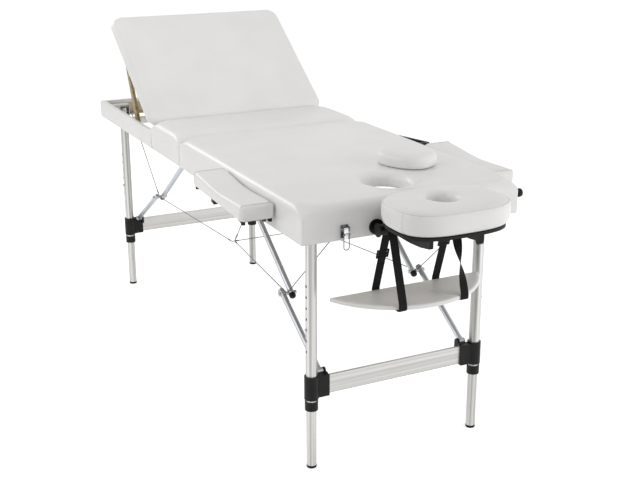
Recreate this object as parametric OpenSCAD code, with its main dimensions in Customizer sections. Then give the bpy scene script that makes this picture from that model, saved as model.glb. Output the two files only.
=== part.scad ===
// Portable three-section treatment table: folding aluminium legs, head cradle, arm shelf and armrests.
// Millimetres, +Z up, +Y from the head end to the foot end. The floor is z = 0.

/* [Table top] */
// Width over the covered side rails
table_w = 680; // [660:1:720]
// Length of one half, from the fold to its end
half_l = 930; // [900:1:960]
// Height of the rail undersides above the floor
panel_z = 700; // [690:1:720]
// Height of the wooden rails
rail_h = 60; // [58:1:66]
// Thickness of the wooden rails
rail_t = 16; // [14:1:18]
// Thickness of the cover leather round the rails
cover_t = 2; // [1.5:0.1:2.5]
// Thickness of the plywood boards
board_t = 8; // [6:0.5:10]
// Height of the foam cushions at their edges
cushion_h = 32; // [28:1:40]
// Extra height of a cushion at its middle
crown = 3; // [1:0.5:6]
// Gap between the two halves at the fold
fold_gap = 2; // [1.5:0.1:4]

/* [Face hole and plug] */
// Half width of the face hole
hole_hx = 66; // [55:1:75]
// Half length of the face hole
hole_hy = 80; // [65:1:90]
// Distance of the face hole from the end of the table
hole_end = 158; // [140:1:180]
// Half width of the loose plug cushion
plug_hx = 72; // [60:1:80]
// Half length of the loose plug cushion
plug_hy = 87; // [70:1:95]
// Height of the plug cushion
plug_h = 42; // [35:1:50]
// Distance of the plug cushion from the middle, across the table
plug_x = 140; // [130:1:150]
// Distance of the plug cushion from the end of the table
plug_end = 282; // [275:1:300]

/* [Backrest] */
// Distance of the backrest hinge from the fold
back_y = 300; // [290:1:330]
// Angle of the raised backrest
back_angle = 36; // [30:0.5:38]
// Length of the backrest board
back_l = 538; // [500:1:560]
// Distance of the prop pivot from the backrest hinge
prop_at = 455; // [430:1:465]
// Width of a prop strut
prop_w = 30; // [24:1:32]

/* [Legs] */
// Distance of the legs from the sides of the table
leg_inset = 68; // [66:1:72]
// Distance of the legs from the end of the table
leg_end = 85; // [80:1:95]
// Outside diameter of the upper leg tube
tube_d = 32; // [30:0.5:33]
// Wall of the leg tubes
tube_wall = 1.8; // [1.5:0.1:2]
// Height of the clamp on each leg, at its top
clamp_top = 285; // [275:1:295]
// Height of the clamp sleeve
clamp_h = 70; // [60:1:74]
// Pitch of the height holes
hole_pitch = 32; // [30:0.5:34]
// Height of the snap buttons
button_z = 425; // [415:1:435]
// Running gap between tubes, pins and bores, on the radius
run_gap = 0.08; // [0.05:0.01:0.1]

/* [Braces and cables] */
// Diameter of the brace tubes
brace_d = 18; // [14:0.5:18]
// Distance of the upper brace pivot from the fold
brace_y = 150; // [140:1:160]
// Diameter of the steel cables
cable_d = 2.5; // [2:0.1:3]
// Distance of the cable junctions from the middle, across the table
junction_x = 152; // [140:1:180]
// Drop of the cable junctions below the rails
junction_drop = 285; // [240:1:320]

/* [Armrests] */
// Width of an armrest
arm_w = 96; // [90:1:120]
// Length of an armrest
arm_l = 360; // [300:1:390]
// Distance of an armrest's front from the end of the table
arm_end = 160; // [150:1:200]

/* [Head cradle and shelf] */
// Distance of the cradle posts from the middle, across the table
post_x = 122; // [118:1:128]
// Diameter of the cradle posts
post_d = 20; // [16:0.5:22]
// Half width of the cradle cushion
cradle_hx = 163; // [155:1:175]
// Half length of the cradle cushion
cradle_hy = 117; // [110:1:125]
// Height of the cradle cushion
cradle_h = 67; // [60:1:75]
// Half width of the hanging shelf
shelf_hx = 240; // [220:1:242]
// Depth of the hanging shelf
shelf_l = 157; // [140:1:170]
// Drop of the shelf below the cradle hubs
shelf_drop = 208; // [190:1:230]
// Width of the webbing straps
strap_w = 25; // [20:1:26]

/* [Hidden] */
$fn = 48;
eps = 0.02;
move_gap = 0.4;
rail_top = panel_z + rail_h;
deck_top = rail_top + board_t;
cushion_top = deck_top + cushion_h;
half_w = table_w / 2;
rail_out = half_w - cover_t;
rail_in = rail_out - rail_t;
fold_y = fold_gap / 2;
frame_l = half_l - fold_y;
// Legs
leg_y = half_l - leg_end;
pivot_z = panel_z + 28;
leg_x = half_w - leg_inset;
tube_r = tube_d / 2;
bore_r = tube_r - tube_wall;
inner_r = bore_r - run_gap;
inner_bore = inner_r - tube_wall;
ear_t = 3;
ear_gap = 1.5;
ear_in = leg_x - tube_r - ear_gap - ear_t;
ear_out = leg_x + tube_r + ear_gap;
leg_bolt_r = 4;
clamp_r = tube_r + 4.5;
clamp_low = clamp_top - clamp_h;
collar_top = clamp_low - 7;
collar_low = collar_top - 26;
tube_end = collar_low + 8;
boss_t = 11;
boss_in = leg_x - 52;
bar_h = 25;
crossbar_h = clamp_h - 14;
crossbar_t = 8;
foot_h = 8;
foot_bevel = 2;
foot_stem = 22;
inner_top = button_z + 25;
button_r = 4;
// Braces
brace_r = brace_d / 2;
lower_x = leg_x - 34;
upper_x = lower_x - 28;
lug_y = 20;
lug_drop = pivot_z - clamp_top;
up_z = rail_top - 16;
low_p = [-leg_y + lug_y, clamp_top];
up_p = [-brace_y, up_z];
folded_p = [-leg_y + lug_drop, pivot_z + lug_y];
brace_span = norm(up_p - low_p) + 0.4;
fold_reach = norm(up_p - folded_p) - 0.1;
lower_l = (brace_span - fold_reach) / 2;
upper_l = brace_span - lower_l;
span_d = norm(up_p - low_p);
span_a = (lower_l * lower_l - upper_l * upper_l + span_d * span_d) / (2 * span_d);
span_h = sqrt(max(0, lower_l * lower_l - span_a * span_a));
span_u = (up_p - low_p) / span_d;
elbow_p = low_p + span_a * span_u + span_h * [span_u[1], -span_u[0]];
lower_ang = atan2(elbow_p[1] - low_p[1], elbow_p[0] - low_p[0]);
upper_ang = atan2(up_p[1] - elbow_p[1], up_p[0] - elbow_p[0]);
elbow_tail = 12;
elbow_r = 6;
cable_x = (lower_x + upper_x) / 2;
eye_y = half_l - 42;
hang_x = 14;
// Hinges at the fold
hinge_z = panel_z - 6;
hinge_x = 196;
knuckle_r = 5.5;
hinge_pin_r = 3;
// Backrest
back_z = deck_top - 2;
back_gap = 12;
back_crease = 3.5;
back_corner = 46;
back_hw = half_w - 2;
back_cushion_h = cushion_h - board_t;
batten_z = up_z + brace_r + 1.5;
beam_hx = upper_x - brace_r - 12;
back_hinge_x = 220;
back_knuckle = 4.5;
back_pin_r = 2.5;
prop_t = 10;
rack_t = 9;
prop_step = 232;
rack_from = 160;
rack_to = 330;
rack_low = 12;
rack_high = 44;
notch_at = 178;
notch_pitch = 26;
notch_drop = 10;
prop_x = rail_in - rack_t - move_gap - prop_t;
prop_drop = 12;
prop_foot = [back_y + prop_step, panel_z + 36];
prop_top = [back_y + prop_at * cos(back_angle) + prop_drop * sin(back_angle),
    back_z + prop_at * sin(back_angle) - prop_drop * cos(back_angle)];
prop_l = norm(prop_top - prop_foot);
prop_ang = atan2(prop_foot[1] - prop_top[1], prop_foot[0] - prop_top[0]);
prop_pin_r = 4;
// Cushions
plug_turn = 27;
base_in = 72;
// Fittings on the sides
handle_l = 160;
handle_out = 40;
handle_h = 42;
handle_drop = 10;
handle_tail = 32;
knob_end = 26;
knob_rise = 50;
// Armrests
arm_in = half_w + 5;
arm_out = arm_in + arm_w;
arm_y0 = -half_l + arm_end;
arm_z = panel_z + 29;
arm_tilt = 2.5;
arm_board = 4;
arm_edge = 12;
arm_pad_h = 44;
stud_r = 6;
stud_in = 9;
stud_h = 9;
arm_rod_r = 6;
arm_rod_z = panel_z + 13;
arm_rod_end = 80;
arm_rod_in = rail_in - 18;
arm_rod_y = [arm_y0 + arm_rod_end, arm_y0 + arm_l - arm_rod_end];
// Cradle
post_r = post_d / 2;
post_z = panel_z + 24;
hub_y = -half_l - 32;
hub_r = 15;
hub_w = 22;
hub_in = post_x - hub_w / 2;
post_in = 75;
post_end = -half_l + post_in;
stub_r = 9;
strap_x = hub_in - 1.5 - strap_w / 2;
stub_in = strap_x - strap_w / 2 - 1;
arm_plate = 12;
plate_x = stub_in - 0.5 - arm_plate;
hub_pin_r = 5;
platform_z = panel_z + 50;
platform_t = 8;
platform_edge = 8;
cradle_out = 147;
cradle_y = -half_l - cradle_out;
cradle_hole = [40, 46];
cradle_hole_in = 18;
cradle_power = 3;
arm_reach = 172;
arm_rise = 70;
arm_belly = 80;
arm_taper = 130;
lever_out = 140;
lever_y = hub_y - lever_out;
lever_z = platform_z - 14;
// Shelf
strap_t = 2;
strap_r = stub_r + move_gap;
shelf_z = post_z - shelf_drop;
shelf_t = 12;
shelf_back = hub_y + 69;
shelf_front = shelf_back - shelf_l;
shelf_r = (shelf_hx * shelf_hx + shelf_l * shelf_l) / (2 * shelf_l);
// Latches
latch_in = 123;
latch_x = half_w - latch_in;
latch_z = panel_z + 30;
latch_y = -half_l - 8;
bail_z = latch_z - 12;
bail_y = latch_y - 6;
wire_r = 1.3;
plate_hw = 6.2;
catch_t = 3;
// The origin lies at the middle of the whole length, under the table
front_end = cradle_y - cradle_hy;
origin_y = -(half_l + catch_t + front_end) / 2;

leather = [0.93, 0.93, 0.92];
wood = [0.72, 0.62, 0.42];
alloy = [0.78, 0.79, 0.8];
steel = [0.6, 0.61, 0.63];
black = [0.12, 0.12, 0.13];

// Small helpers

module box(x, y, z) {
    translate([x[0], y[0], z[0]]) cube([x[1] - x[0], y[1] - y[0], z[1] - z[0]]);
}

module rod_x(y, z, x, r) {
    translate([x[0], y, z]) rotate([0, 90, 0]) cylinder(h = x[1] - x[0], r = r);
}

module rod_y(x, z, y, r) {
    translate([x, y[0], z]) rotate([-90, 0, 0]) cylinder(h = y[1] - y[0], r = r);
}

module rod_z(x, y, z, r) {
    translate([x, y, z[0]]) cylinder(h = z[1] - z[0], r = r);
}

module pair() {
    children();
    mirror([1, 0, 0]) children();
}

module to_rear() {
    mirror([0, 1, 0]) children();
}

// A straight rod from point a to point b
module line(a, b, r) {
    v = b - a;
    flat = norm([v[0], v[1]]);
    translate(a) rotate([0, atan2(flat, v[2]), atan2(v[1], v[0])])
        cylinder(h = norm(v), r = r, $fn = 16);
}

// Soft forms

corner_n = 6;
side_n = 4;

function arc(cx, cy, r, a) =
    [for (i = [0 : corner_n]) [cx + r * cos(a + 90 * i / corner_n), cy + r * sin(a + 90 * i / corner_n)]];

function between(p, q) = [for (i = [1 : side_n]) p + (q - p) * i / (side_n + 1)];

// A rounded rectangle of half sizes hx and hy, counted from the +X side
function ring(hx, hy, r) = let (
        a = arc(hx - r, hy - r, r, 0),
        b = arc(r - hx, hy - r, r, 90),
        c = arc(r - hx, r - hy, r, 180),
        d = arc(hx - r, r - hy, r, 270),
        n = corner_n)
    concat(a, between(a[n], b[0]), b, between(b[n], c[0]), c, between(c[n], d[0]), d, between(d[n], a[0]));

function lifted(points, z) = [for (p = points) [p[0], p[1], z]];

// An inset rounded rectangle at each step of a side profile of [inset, height]
function stack(hx, hy, r, profile) = [for (s = profile)
    lifted(ring(hx - s[0], hy - s[0], max(r - s[0], 4)), s[1])];

// An ellipse whose points face those of a ring, round a centre
function facing(points, c, rx, ry) = [for (p = points)
    let (a = atan2((p[1] - c[1]) / ry, (p[0] - c[0]) / rx)) [c[0] + rx * cos(a), c[1] + ry * sin(a)]];

function walls(n, m, last) = [for (k = [0 : m - 2 + last], j = [0 : n - 1], t = [0, 1])
    let (u = (k + 1) % m, i = (j + 1) % n)
    t == 0 ? [k * n + j, u * n + j, u * n + i] : [k * n + j, u * n + i, k * n + i]];

// A closed cushion: the rings from the bottom edge up, with a crowned middle
module pad(rings, low, high) {
    n = len(rings[0]);
    m = len(rings);
    points = concat([for (r = rings) each r], [[0, 0, low], [0, 0, high]]);
    lower = [for (j = [0 : n - 1]) [m * n, j, (j + 1) % n]];
    upper = [for (j = [0 : n - 1]) [(m - 1) * n + j, m * n + 1, (m - 1) * n + (j + 1) % n]];
    polyhedron(points, concat(walls(n, m, 0), lower, upper));
}

// A cushion with a hole: the last ring runs down the hole to the bottom
module holed_pad(rings) {
    n = len(rings[0]);
    points = [for (r = rings) each r];
    polyhedron(points, walls(n, len(rings), 1));
}

// Side profile of a cushion of height h: drawn in at the seam, full at the middle, rounded over at the top
function side(h, round_r) = concat(
    [[2, 0], [0.6, h * 0.2], [0, h * 0.42]],
    [for (a = [15 : 25 : 90]) [round_r * (1 - cos(a)), h - round_r * 0.55 * (1 - sin(a))]],
    [[round_r * 1.9, h + crown * 0.35], [round_r * 4, h + crown * 0.75]]);

// Half frames, made for the front half and mirrored to the rear

module side_rails(bored) {
    pair() difference() {
        box([rail_in, rail_out], [-half_l + cover_t, -fold_y - cover_t], [panel_z, rail_top]);
        if (bored) for (y = arm_rod_y)
            rod_x(y, arm_rod_z, [rail_in - 1, rail_out + 1], arm_rod_r + 3);
    }
}

module end_rails(bored) {
    difference() {
        box([-rail_in, rail_in], [-half_l + cover_t, -half_l + cover_t + rail_t], [panel_z, rail_top]);
        if (bored) pair()
            rod_y(post_x, post_z, [-half_l, -half_l + cover_t + rail_t + 1], post_r + 3);
    }
    box([-rail_in, rail_in], [-fold_y - cover_t - rail_t, -fold_y - cover_t], [panel_z, rail_top]);
}

module cover_band(top) {
    difference() {
        box([-half_w, half_w], [-half_l, -fold_y], [panel_z, top]);
        box([-rail_out, rail_out], [-half_l + cover_t, -fold_y - cover_t], [panel_z - 1, top + 1]);
    }
}

module hinge_leaf(knuckles) {
    pair() difference() {
        union() {
            box([hinge_x - 30, hinge_x + 30], [-48, -knuckle_r - 1], [panel_z - 2.5, panel_z]);
            for (k = knuckles) {
                rod_x(0, hinge_z, [hinge_x + k[0], hinge_x + k[1]], knuckle_r);
                box([hinge_x + k[0], hinge_x + k[1]], [-knuckle_r - 2, -1], [panel_z - 2.5, panel_z]);
            }
        }
        rod_x(0, hinge_z, [hinge_x - 40, hinge_x + 40], hinge_pin_r + run_gap);
    }
}

// Leg hinge brackets on the side rails, brace brackets under the boards, and the cable eyes
module brackets() {
    pair() {
        difference() {
            union() {
                box([ear_in, ear_in + ear_t], [-leg_y - 18, -leg_y + 18], [pivot_z - 16, rail_top - 3]);
                box([ear_out, rail_in], [-leg_y - 18, -leg_y + 18], [pivot_z - 16, rail_top - 3]);
                box([ear_in, rail_in], [-leg_y - 18, -leg_y + 18], [rail_top - 6, rail_top - 3]);
            }
            rod_x(-leg_y, pivot_z, [ear_in - 1, rail_in - 8], leg_bolt_r + run_gap);
            rod_x(-leg_y, pivot_z, [ear_out + ear_t, rail_in - 4], leg_bolt_r + 4);
        }
        for (x = [upper_x - brace_r - 4, upper_x + brace_r + 1])
            box([x, x + 3], [up_p[0] - 14, up_p[0] + 14], [up_z - 12, rail_top]);
        rod_x(up_p[0], up_z, [upper_x - brace_r - 7, upper_x + brace_r + 7], leg_bolt_r);
        box([cable_x - 5, cable_x + 5], [-half_l + cover_t + rail_t, -eye_y + 5],
            [panel_z + 2, panel_z + 10]);
    }
}

module outer_tubes() {
    pair() translate([leg_x, -leg_y, 0]) difference() {
        rod_z(0, 0, [tube_end, pivot_z + tube_r], tube_r);
        rod_z(0, 0, [tube_end - 1, pivot_z + tube_r + 1], bore_r);
        rod_x(0, pivot_z, [-tube_r - 1, tube_r + 1], leg_bolt_r + run_gap);
        for (k = [-2 : 4])
            rod_x(0, button_z + k * hole_pitch, [0, tube_r + 1], button_r + 0.3);
    }
}

// The top bar, the lower crossbar and the pivot bolts of one leg set
module crossbars() {
    box([-leg_x + tube_r, leg_x - tube_r], [-leg_y - 7.5, -leg_y + 7.5], [panel_z - 1 - bar_h, panel_z - 1]);
    box([-boss_in - 18, boss_in + 18], [-leg_y - crossbar_t / 2, -leg_y + crossbar_t / 2],
        [clamp_top - 7 - crossbar_h, clamp_top - 7]);
    pair() {
        rod_x(-leg_y, pivot_z, [ear_in - 0.8, ear_out + ear_t + 0.8], leg_bolt_r);
        rod_x(-leg_y, pivot_z, [ear_in - 4, ear_in - 0.8], leg_bolt_r + 3);
        rod_x(-leg_y, pivot_z, [ear_out + ear_t + 0.8, ear_out + ear_t + 4], leg_bolt_r + 3);
        rod_x(low_p[0], low_p[1], [lower_x - brace_r - 0.5, lower_x + brace_r + 0.4], 3);
        rod_x(low_p[0], low_p[1], [lower_x + brace_r + 0.4, lower_x + brace_r + 3.4], 5);
    }
}

module clamps() {
    pair() {
        difference() {
            union() {
                rod_z(leg_x, -leg_y, [clamp_low, clamp_top], clamp_r);
                box([boss_in, leg_x], [-leg_y - boss_t, -leg_y + boss_t], [clamp_low + 3, clamp_top - 3]);
                rod_x(low_p[0], low_p[1], [lower_x - brace_r - 8.5, lower_x - brace_r - 0.5], 9);
                box([lower_x - brace_r - 8.5, lower_x - brace_r - 0.5], [-leg_y, low_p[0] + 9],
                    [clamp_top - 22, clamp_top]);
            }
            rod_z(leg_x, -leg_y, [clamp_low - 1, clamp_top + 1], tube_r);
            box([boss_in - 1, boss_in + 18], [-leg_y - crossbar_t / 2, -leg_y + crossbar_t / 2],
                [clamp_top - 7 - crossbar_h, clamp_top - 7]);
        }
        difference() {
            rod_z(leg_x, -leg_y, [collar_low, collar_top], clamp_r - 1.5);
            rod_z(leg_x, -leg_y, [tube_end, collar_top + 1], tube_r);
            rod_z(leg_x, -leg_y, [collar_low - 1, collar_top], bore_r);
        }
    }
}

module inner_leg() {
    translate([leg_x, -leg_y, 0]) difference() {
        rod_z(0, 0, [foot_h, inner_top], inner_r);
        rod_z(0, 0, [foot_h - 1, inner_top + 1], inner_bore);
        rod_x(0, button_z, [0, tube_r], button_r + run_gap);
    }
}

module foot() {
    translate([leg_x, -leg_y, 0]) {
        cylinder(h = foot_bevel, r1 = inner_r - foot_bevel / 2, r2 = inner_r + 0.4);
        rod_z(0, 0, [foot_bevel, foot_h], inner_r + 0.4);
        rod_z(0, 0, [foot_h, foot_h + foot_stem], inner_bore - run_gap);
    }
}

module button() {
    translate([leg_x, -leg_y, 0]) {
        rod_x(0, button_z, [inner_bore - 4, tube_r + 3], button_r);
        rod_x(0, button_z, [inner_bore - 4.5, inner_bore - 2], button_r + 1.6);
    }
}

// A brace tube from p along an angle in the plane across X
module brace_tube(x, p, ang, from, to) {
    translate([x, p[0], p[1]]) rotate([ang, 0, 0]) difference() {
        rod_y(0, 0, [from, to], brace_r);
        rod_y(0, 0, [from - 1, to + 1], brace_r - 1.5);
    }
}

module lower_braces() {
    pair() {
        difference() {
            union() {
                brace_tube(lower_x, low_p, lower_ang, 0, lower_l + elbow_tail);
                rod_x(low_p[0], low_p[1], [lower_x - brace_r, lower_x + brace_r], brace_r);
            }
            rod_x(low_p[0], low_p[1], [lower_x - 20, lower_x + 20], 3 + run_gap);
        }
        rod_x(elbow_p[0], elbow_p[1], [upper_x + brace_r + move_gap, lower_x - brace_r + 2], elbow_r);
        rod_x(elbow_p[0], elbow_p[1], [lower_x + brace_r - 2, lower_x + brace_r + 4.5], elbow_r);
    }
}

module upper_braces() {
    pair() {
        difference() {
            brace_tube(upper_x, elbow_p, upper_ang, -elbow_tail, upper_l + 10);
            rod_x(up_p[0], up_p[1], [upper_x - 20, upper_x + 20], leg_bolt_r + run_gap);
        }
        rod_x(elbow_p[0], elbow_p[1], [upper_x - brace_r - 6, upper_x - brace_r + 2], elbow_r);
    }
}

// Front half

module front_side_rails() {
    color(wood) side_rails(true);
}

module front_end_rails() {
    color(wood) end_rails(true);
}

module front_deck() {
    color(wood) difference() {
        box([-rail_out, rail_out], [-half_l + cover_t, -fold_y - cover_t], [rail_top, deck_top]);
        translate([0, -half_l + hole_end, rail_top - 1]) linear_extrude(board_t + 2)
            polygon([for (i = [0 : 59]) [hole_hx * cos(6 * i), hole_hy * sin(6 * i)]]);
    }
}

module front_cover() {
    color(leather) difference() {
        cover_band(deck_top);
        pair() {
            rod_y(post_x, post_z, [-half_l - 1, -half_l + cover_t + 1], post_r + 3);
            for (y = arm_rod_y)
                rod_x(y, arm_rod_z, [rail_out - 1, half_w + 1], arm_rod_r + 3);
        }
    }
}

module front_cushion() {
    hy = frame_l / 2;
    hole = [0, -half_l + hole_end + fold_y + hy];
    outer = stack(half_w, hy, 30, side(cushion_h, 18));
    base = ring(half_w - base_in, hy - base_in, 4);
    lip = [[30, cushion_h + crown * 0.7], [14, cushion_h + crown * 0.2], [6, cushion_h - 3],
        [1.5, cushion_h - 9], [0, cushion_h * 0.5], [1, 0]];
    color(leather) translate([0, -fold_y - hy, deck_top]) holed_pad(concat(outer,
        [for (s = lip) lifted(facing(base, hole, hole_hx + s[0], hole_hy + s[0]), s[1])]));
}

module front_brackets() {
    color(steel) {
        brackets();
        hinge_leaf([[-30, -10.3], [10.3, 30]]);
    }
}

// Cradle sockets, armrest sockets, the spare socket plugs and the carry handle
module side_fittings() {
    color(black) {
        pair() {
            difference() {
                union() {
                    rod_y(post_x, post_z, [-half_l - 5, -half_l], 21);
                    rod_y(post_x, post_z, [-half_l, -half_l + 44], post_r + 3);
                }
                rod_y(post_x, post_z, [-half_l - 6, -half_l + 45], post_r + run_gap);
            }
            for (y = arm_rod_y) difference() {
                union() {
                    rod_x(y, arm_rod_z, [half_w, half_w + 3], 12);
                    rod_x(y, arm_rod_z, [rail_in, half_w], arm_rod_r + 3);
                }
                rod_x(y, arm_rod_z, [rail_in - 1, half_w + 4], arm_rod_r + run_gap);
            }
        }
        rod_x(-half_l + knob_end, panel_z + knob_rise, [half_w, half_w + 7], 13);
        translate([half_w, arm_y0 + arm_l + 10, cushion_top - handle_drop - handle_h]) difference() {
            linear_extrude(handle_h) polygon([[0, 0], [handle_out - 2, 4], [handle_out, 10], [0, handle_l]]);
            translate([0, 0, -1]) linear_extrude(handle_h + 2)
                polygon([[-1, 14], [handle_out - 10, 12], [-1, handle_l - handle_tail]]);
        }
    }
}

module latch_plates() {
    color(alloy) pair() {
        box([latch_x - 11, latch_x + 11], [-half_l - 2, -half_l], [latch_z - 24, latch_z + 12]);
        difference() {
            union() for (s = [-11, 8])
                box([latch_x + s, latch_x + s + 3], [latch_y - 4, -half_l - 2], [latch_z - 4, latch_z + 8]);
            rod_x(latch_y, latch_z + 2, [latch_x - 12, latch_x + 12], 2 + run_gap);
        }
    }
}

// Rear half

module hinge_pins() {
    color(steel) pair() {
        rod_x(0, hinge_z, [hinge_x - 32, hinge_x + 32], hinge_pin_r);
        rod_x(0, hinge_z, [hinge_x - 35, hinge_x - 32], hinge_pin_r + 2);
    }
}

module rear_side_rails() {
    color(wood) to_rear() side_rails(false);
}

module rear_end_rails() {
    color(wood) to_rear() end_rails(false);
}

// The seat board and the rail under the backrest hinge
module rear_deck() {
    color(wood) {
        box([-rail_out, rail_out], [fold_y + cover_t, back_y - 7], [rail_top, deck_top]);
        box([-rail_in, rail_in], [back_y - 10, back_y + 8], [batten_z, rail_top]);
        box([-beam_hx, beam_hx], [back_y - 10, back_y + 8], [panel_z, batten_z]);
    }
}

module rear_cover() {
    color(leather) difference() {
        to_rear() cover_band(deck_top);
        box([-half_w - 1, half_w + 1], [back_y - 7, half_l + 1], [rail_top, deck_top + 1]);
    }
}

module seat_cushion() {
    hy = (back_y - 3 - fold_y) / 2;
    color(leather) translate([0, fold_y + hy, deck_top])
        pad(stack(half_w, hy, 26, side(cushion_h, 18)), 0, cushion_h + crown);
}

module rear_brackets() {
    color(steel) {
        to_rear() brackets();
        to_rear() hinge_leaf([[-10, 10]]);
        pair() box([latch_x - 14, latch_x + 14], [half_l, half_l + catch_t], [panel_z + 6, panel_z + 26]);
    }
}

// Racks for the props and the fixed hinge leaves of the backrest
module backrest_fittings() {
    color(steel) pair() {
        difference() {
            box([rail_in - rack_t, rail_in], [back_y + rack_from, back_y + rack_to],
                [panel_z + rack_low, panel_z + rack_high]);
            for (k = [0 : 5])
                translate([rail_in - rack_t - 1, back_y + notch_at + k * notch_pitch,
                    panel_z + rack_high - notch_drop])
                    rotate([45, 0, 0])
                    cube([rack_t + 2, 18, 18]);
        }
        difference() {
            union() {
                rod_x(back_y, back_z, [back_hinge_x - 12, back_hinge_x + 12], back_knuckle);
                box([back_hinge_x - 12, back_hinge_x + 12], [back_y - 3, back_y + 3], [rail_top, back_z]);
            }
            rod_x(back_y, back_z, [back_hinge_x - 14, back_hinge_x + 14], back_pin_r + run_gap);
        }
    }
}

// Backrest, drawn flat and raised about its hinge

module raised() {
    translate([0, back_y, back_z]) rotate([back_angle, 0, 0]) children();
}

module backrest_board() {
    r = back_corner - 2;
    color(wood) raised() translate([0, 0, 2]) linear_extrude(board_t) {
        translate([-back_hw + r, back_gap]) square([2 * (back_hw - r), back_l]);
        translate([-back_hw, back_gap + r]) square([2 * back_hw, back_l - 2 * r]);
        for (x = [-back_hw + r, back_hw - r], y = [back_gap + r, back_gap + back_l - r])
            translate([x, y]) circle(r = r);
    }
}

module backrest_cushion() {
    hy = (back_l + 2 - back_crease) / 2;
    color(leather) raised() translate([0, back_gap + back_crease + hy, 2 + board_t])
        pad(stack(back_hw + 2, hy, back_corner, side(back_cushion_h, 14)), 0, back_cushion_h + crown);
}

// Hinge pins with their leaves, and the prop pivots, under the board
module backrest_pins() {
    color(steel) raised() pair() {
        rod_x(0, 0, [back_hinge_x - 22, back_hinge_x + 22], back_pin_r);
        for (s = [-22, 12.6]) {
            rod_x(0, 0, [back_hinge_x + s, back_hinge_x + s + 9.4], back_knuckle);
            box([back_hinge_x + s, back_hinge_x + s + 9.4], [2, 44], [0, 2]);
        }
        for (x = [prop_x - 3.6, prop_x + prop_t + 0.6])
            box([x, x + 3], [prop_at - 9, prop_at + 9], [-prop_drop - 6, 2]);
        rod_x(prop_at, -prop_drop, [prop_x - 5, prop_x + prop_t + 5], prop_pin_r);
    }
}

module prop_struts() {
    color(wood) pair() translate([prop_x, prop_top[0], prop_top[1]]) rotate([prop_ang, 0, 0]) difference() {
        union() {
            rod_x(0, 0, [0, prop_t], 9);
            linear_extrude_x(prop_t) polygon([[0, -9], [prop_l - 20, -prop_w / 2], [prop_l, -prop_w / 2],
                [prop_l, prop_w / 2], [prop_l - 20, prop_w / 2], [0, 9]]);
        }
        rod_x(0, 0, [-1, prop_t + 1], prop_pin_r + run_gap);
    }
}

// An outline drawn in Y and Z, with its thickness along X
module linear_extrude_x(h) {
    rotate([90, 0, 90]) linear_extrude(h) children();
}

// Leg sets

module front_outer_tubes() {
    color(alloy) outer_tubes();
}

module front_crossbars() {
    color(alloy) crossbars();
}

module front_clamps() {
    color(black) clamps();
}

module rear_outer_tubes() {
    color(alloy) to_rear() outer_tubes();
}

module rear_crossbars() {
    color(alloy) to_rear() crossbars();
}

module rear_clamps() {
    color(black) to_rear() clamps();
}

module at_leg(right, rear) {
    mirror([right ? 0 : 1, 0, 0]) mirror([0, rear ? 1 : 0, 0]) children();
}

module front_upper_braces() {
    color(alloy) upper_braces();
}

module front_lower_braces() {
    color(alloy) lower_braces();
}

module rear_upper_braces() {
    color(alloy) to_rear() upper_braces();
}

module rear_lower_braces() {
    color(alloy) to_rear() lower_braces();
}

// The cables that steady the braces: to the ends, through the junctions, up to the fold and across
module cables() {
    r = cable_d / 2;
    e = [cable_x, elbow_p[0], elbow_p[1]];
    k = [junction_x, 0, panel_z - junction_drop];
    eye = [cable_x, -eye_y, panel_z + 0.2];
    off = elbow_r + 1;
    to_eye = (eye - e) / norm(eye - e);
    to_k = (k - e) / norm(k - e);
    color(steel) {
        pair() {
            for (m = [0, 1]) mirror([0, m, 0]) {
                line(e + off * to_eye, eye, r);
                line(e + off * to_k, k, r);
            }
            line(k, [hang_x, 0, panel_z - 1], r);
            translate(k) sphere(r = r * 1.6, $fn = 16);
        }
        line([-junction_x, 0, k[2]], k, r);
    }
}

// Head cradle

module cradle_base() {
    color(black) pair() {
        rod_y(post_x, post_z, [hub_y, post_end], post_r);
        rod_x(hub_y, post_z, [post_x - hub_w / 2, post_x + hub_w / 2], hub_r);
        rod_x(hub_y, post_z, [stub_in, hub_in], stub_r);
        rod_x(hub_y, post_z, [plate_x - 2, stub_in], hub_pin_r);
        rod_x(hub_y, post_z, [plate_x - 5, plate_x - 2], hub_pin_r + 3);
        rod_x(hub_y, post_z, [post_x + hub_w / 2, post_x + hub_w / 2 + 3], hub_r + 4);
    }
}

module cradle_arms() {
    color(black) pair() translate([plate_x, 0, 0]) difference() {
        union() {
            rod_x(hub_y, post_z, [0, arm_plate], 18);
            linear_extrude_x(arm_plate) polygon([[hub_y, post_z + 17], [hub_y - arm_rise, platform_z],
                [hub_y - arm_reach, platform_z], [hub_y - arm_reach, post_z - 10],
                [hub_y - arm_taper, post_z - 17], [hub_y - arm_belly, post_z - 20], [hub_y, post_z - 18]]);
        }
        rod_x(hub_y, post_z, [-1, arm_plate + 1], hub_pin_r + run_gap);
        rod_x(lever_y, lever_z, [-1, arm_plate + 1], 4 + run_gap);
    }
}

function oval(rx, ry, power, n) = [for (i = [0 : n - 1]) let (a = 360 * i / n, c = cos(a), s = sin(a))
    [rx * sign(c) * pow(abs(c), 2 / power), ry * sign(s) * pow(abs(s), 2 / power)]];

module cradle_platform() {
    color(black) translate([0, cradle_y, platform_z]) linear_extrude(platform_t) difference() {
        polygon(oval(cradle_hx - platform_edge, cradle_hy - platform_edge, cradle_power, 72));
        translate([0, cradle_hole_in]) polygon(oval(cradle_hole[0] + 14, cradle_hole[1] + 10, 2, 48));
    }
}

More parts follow.
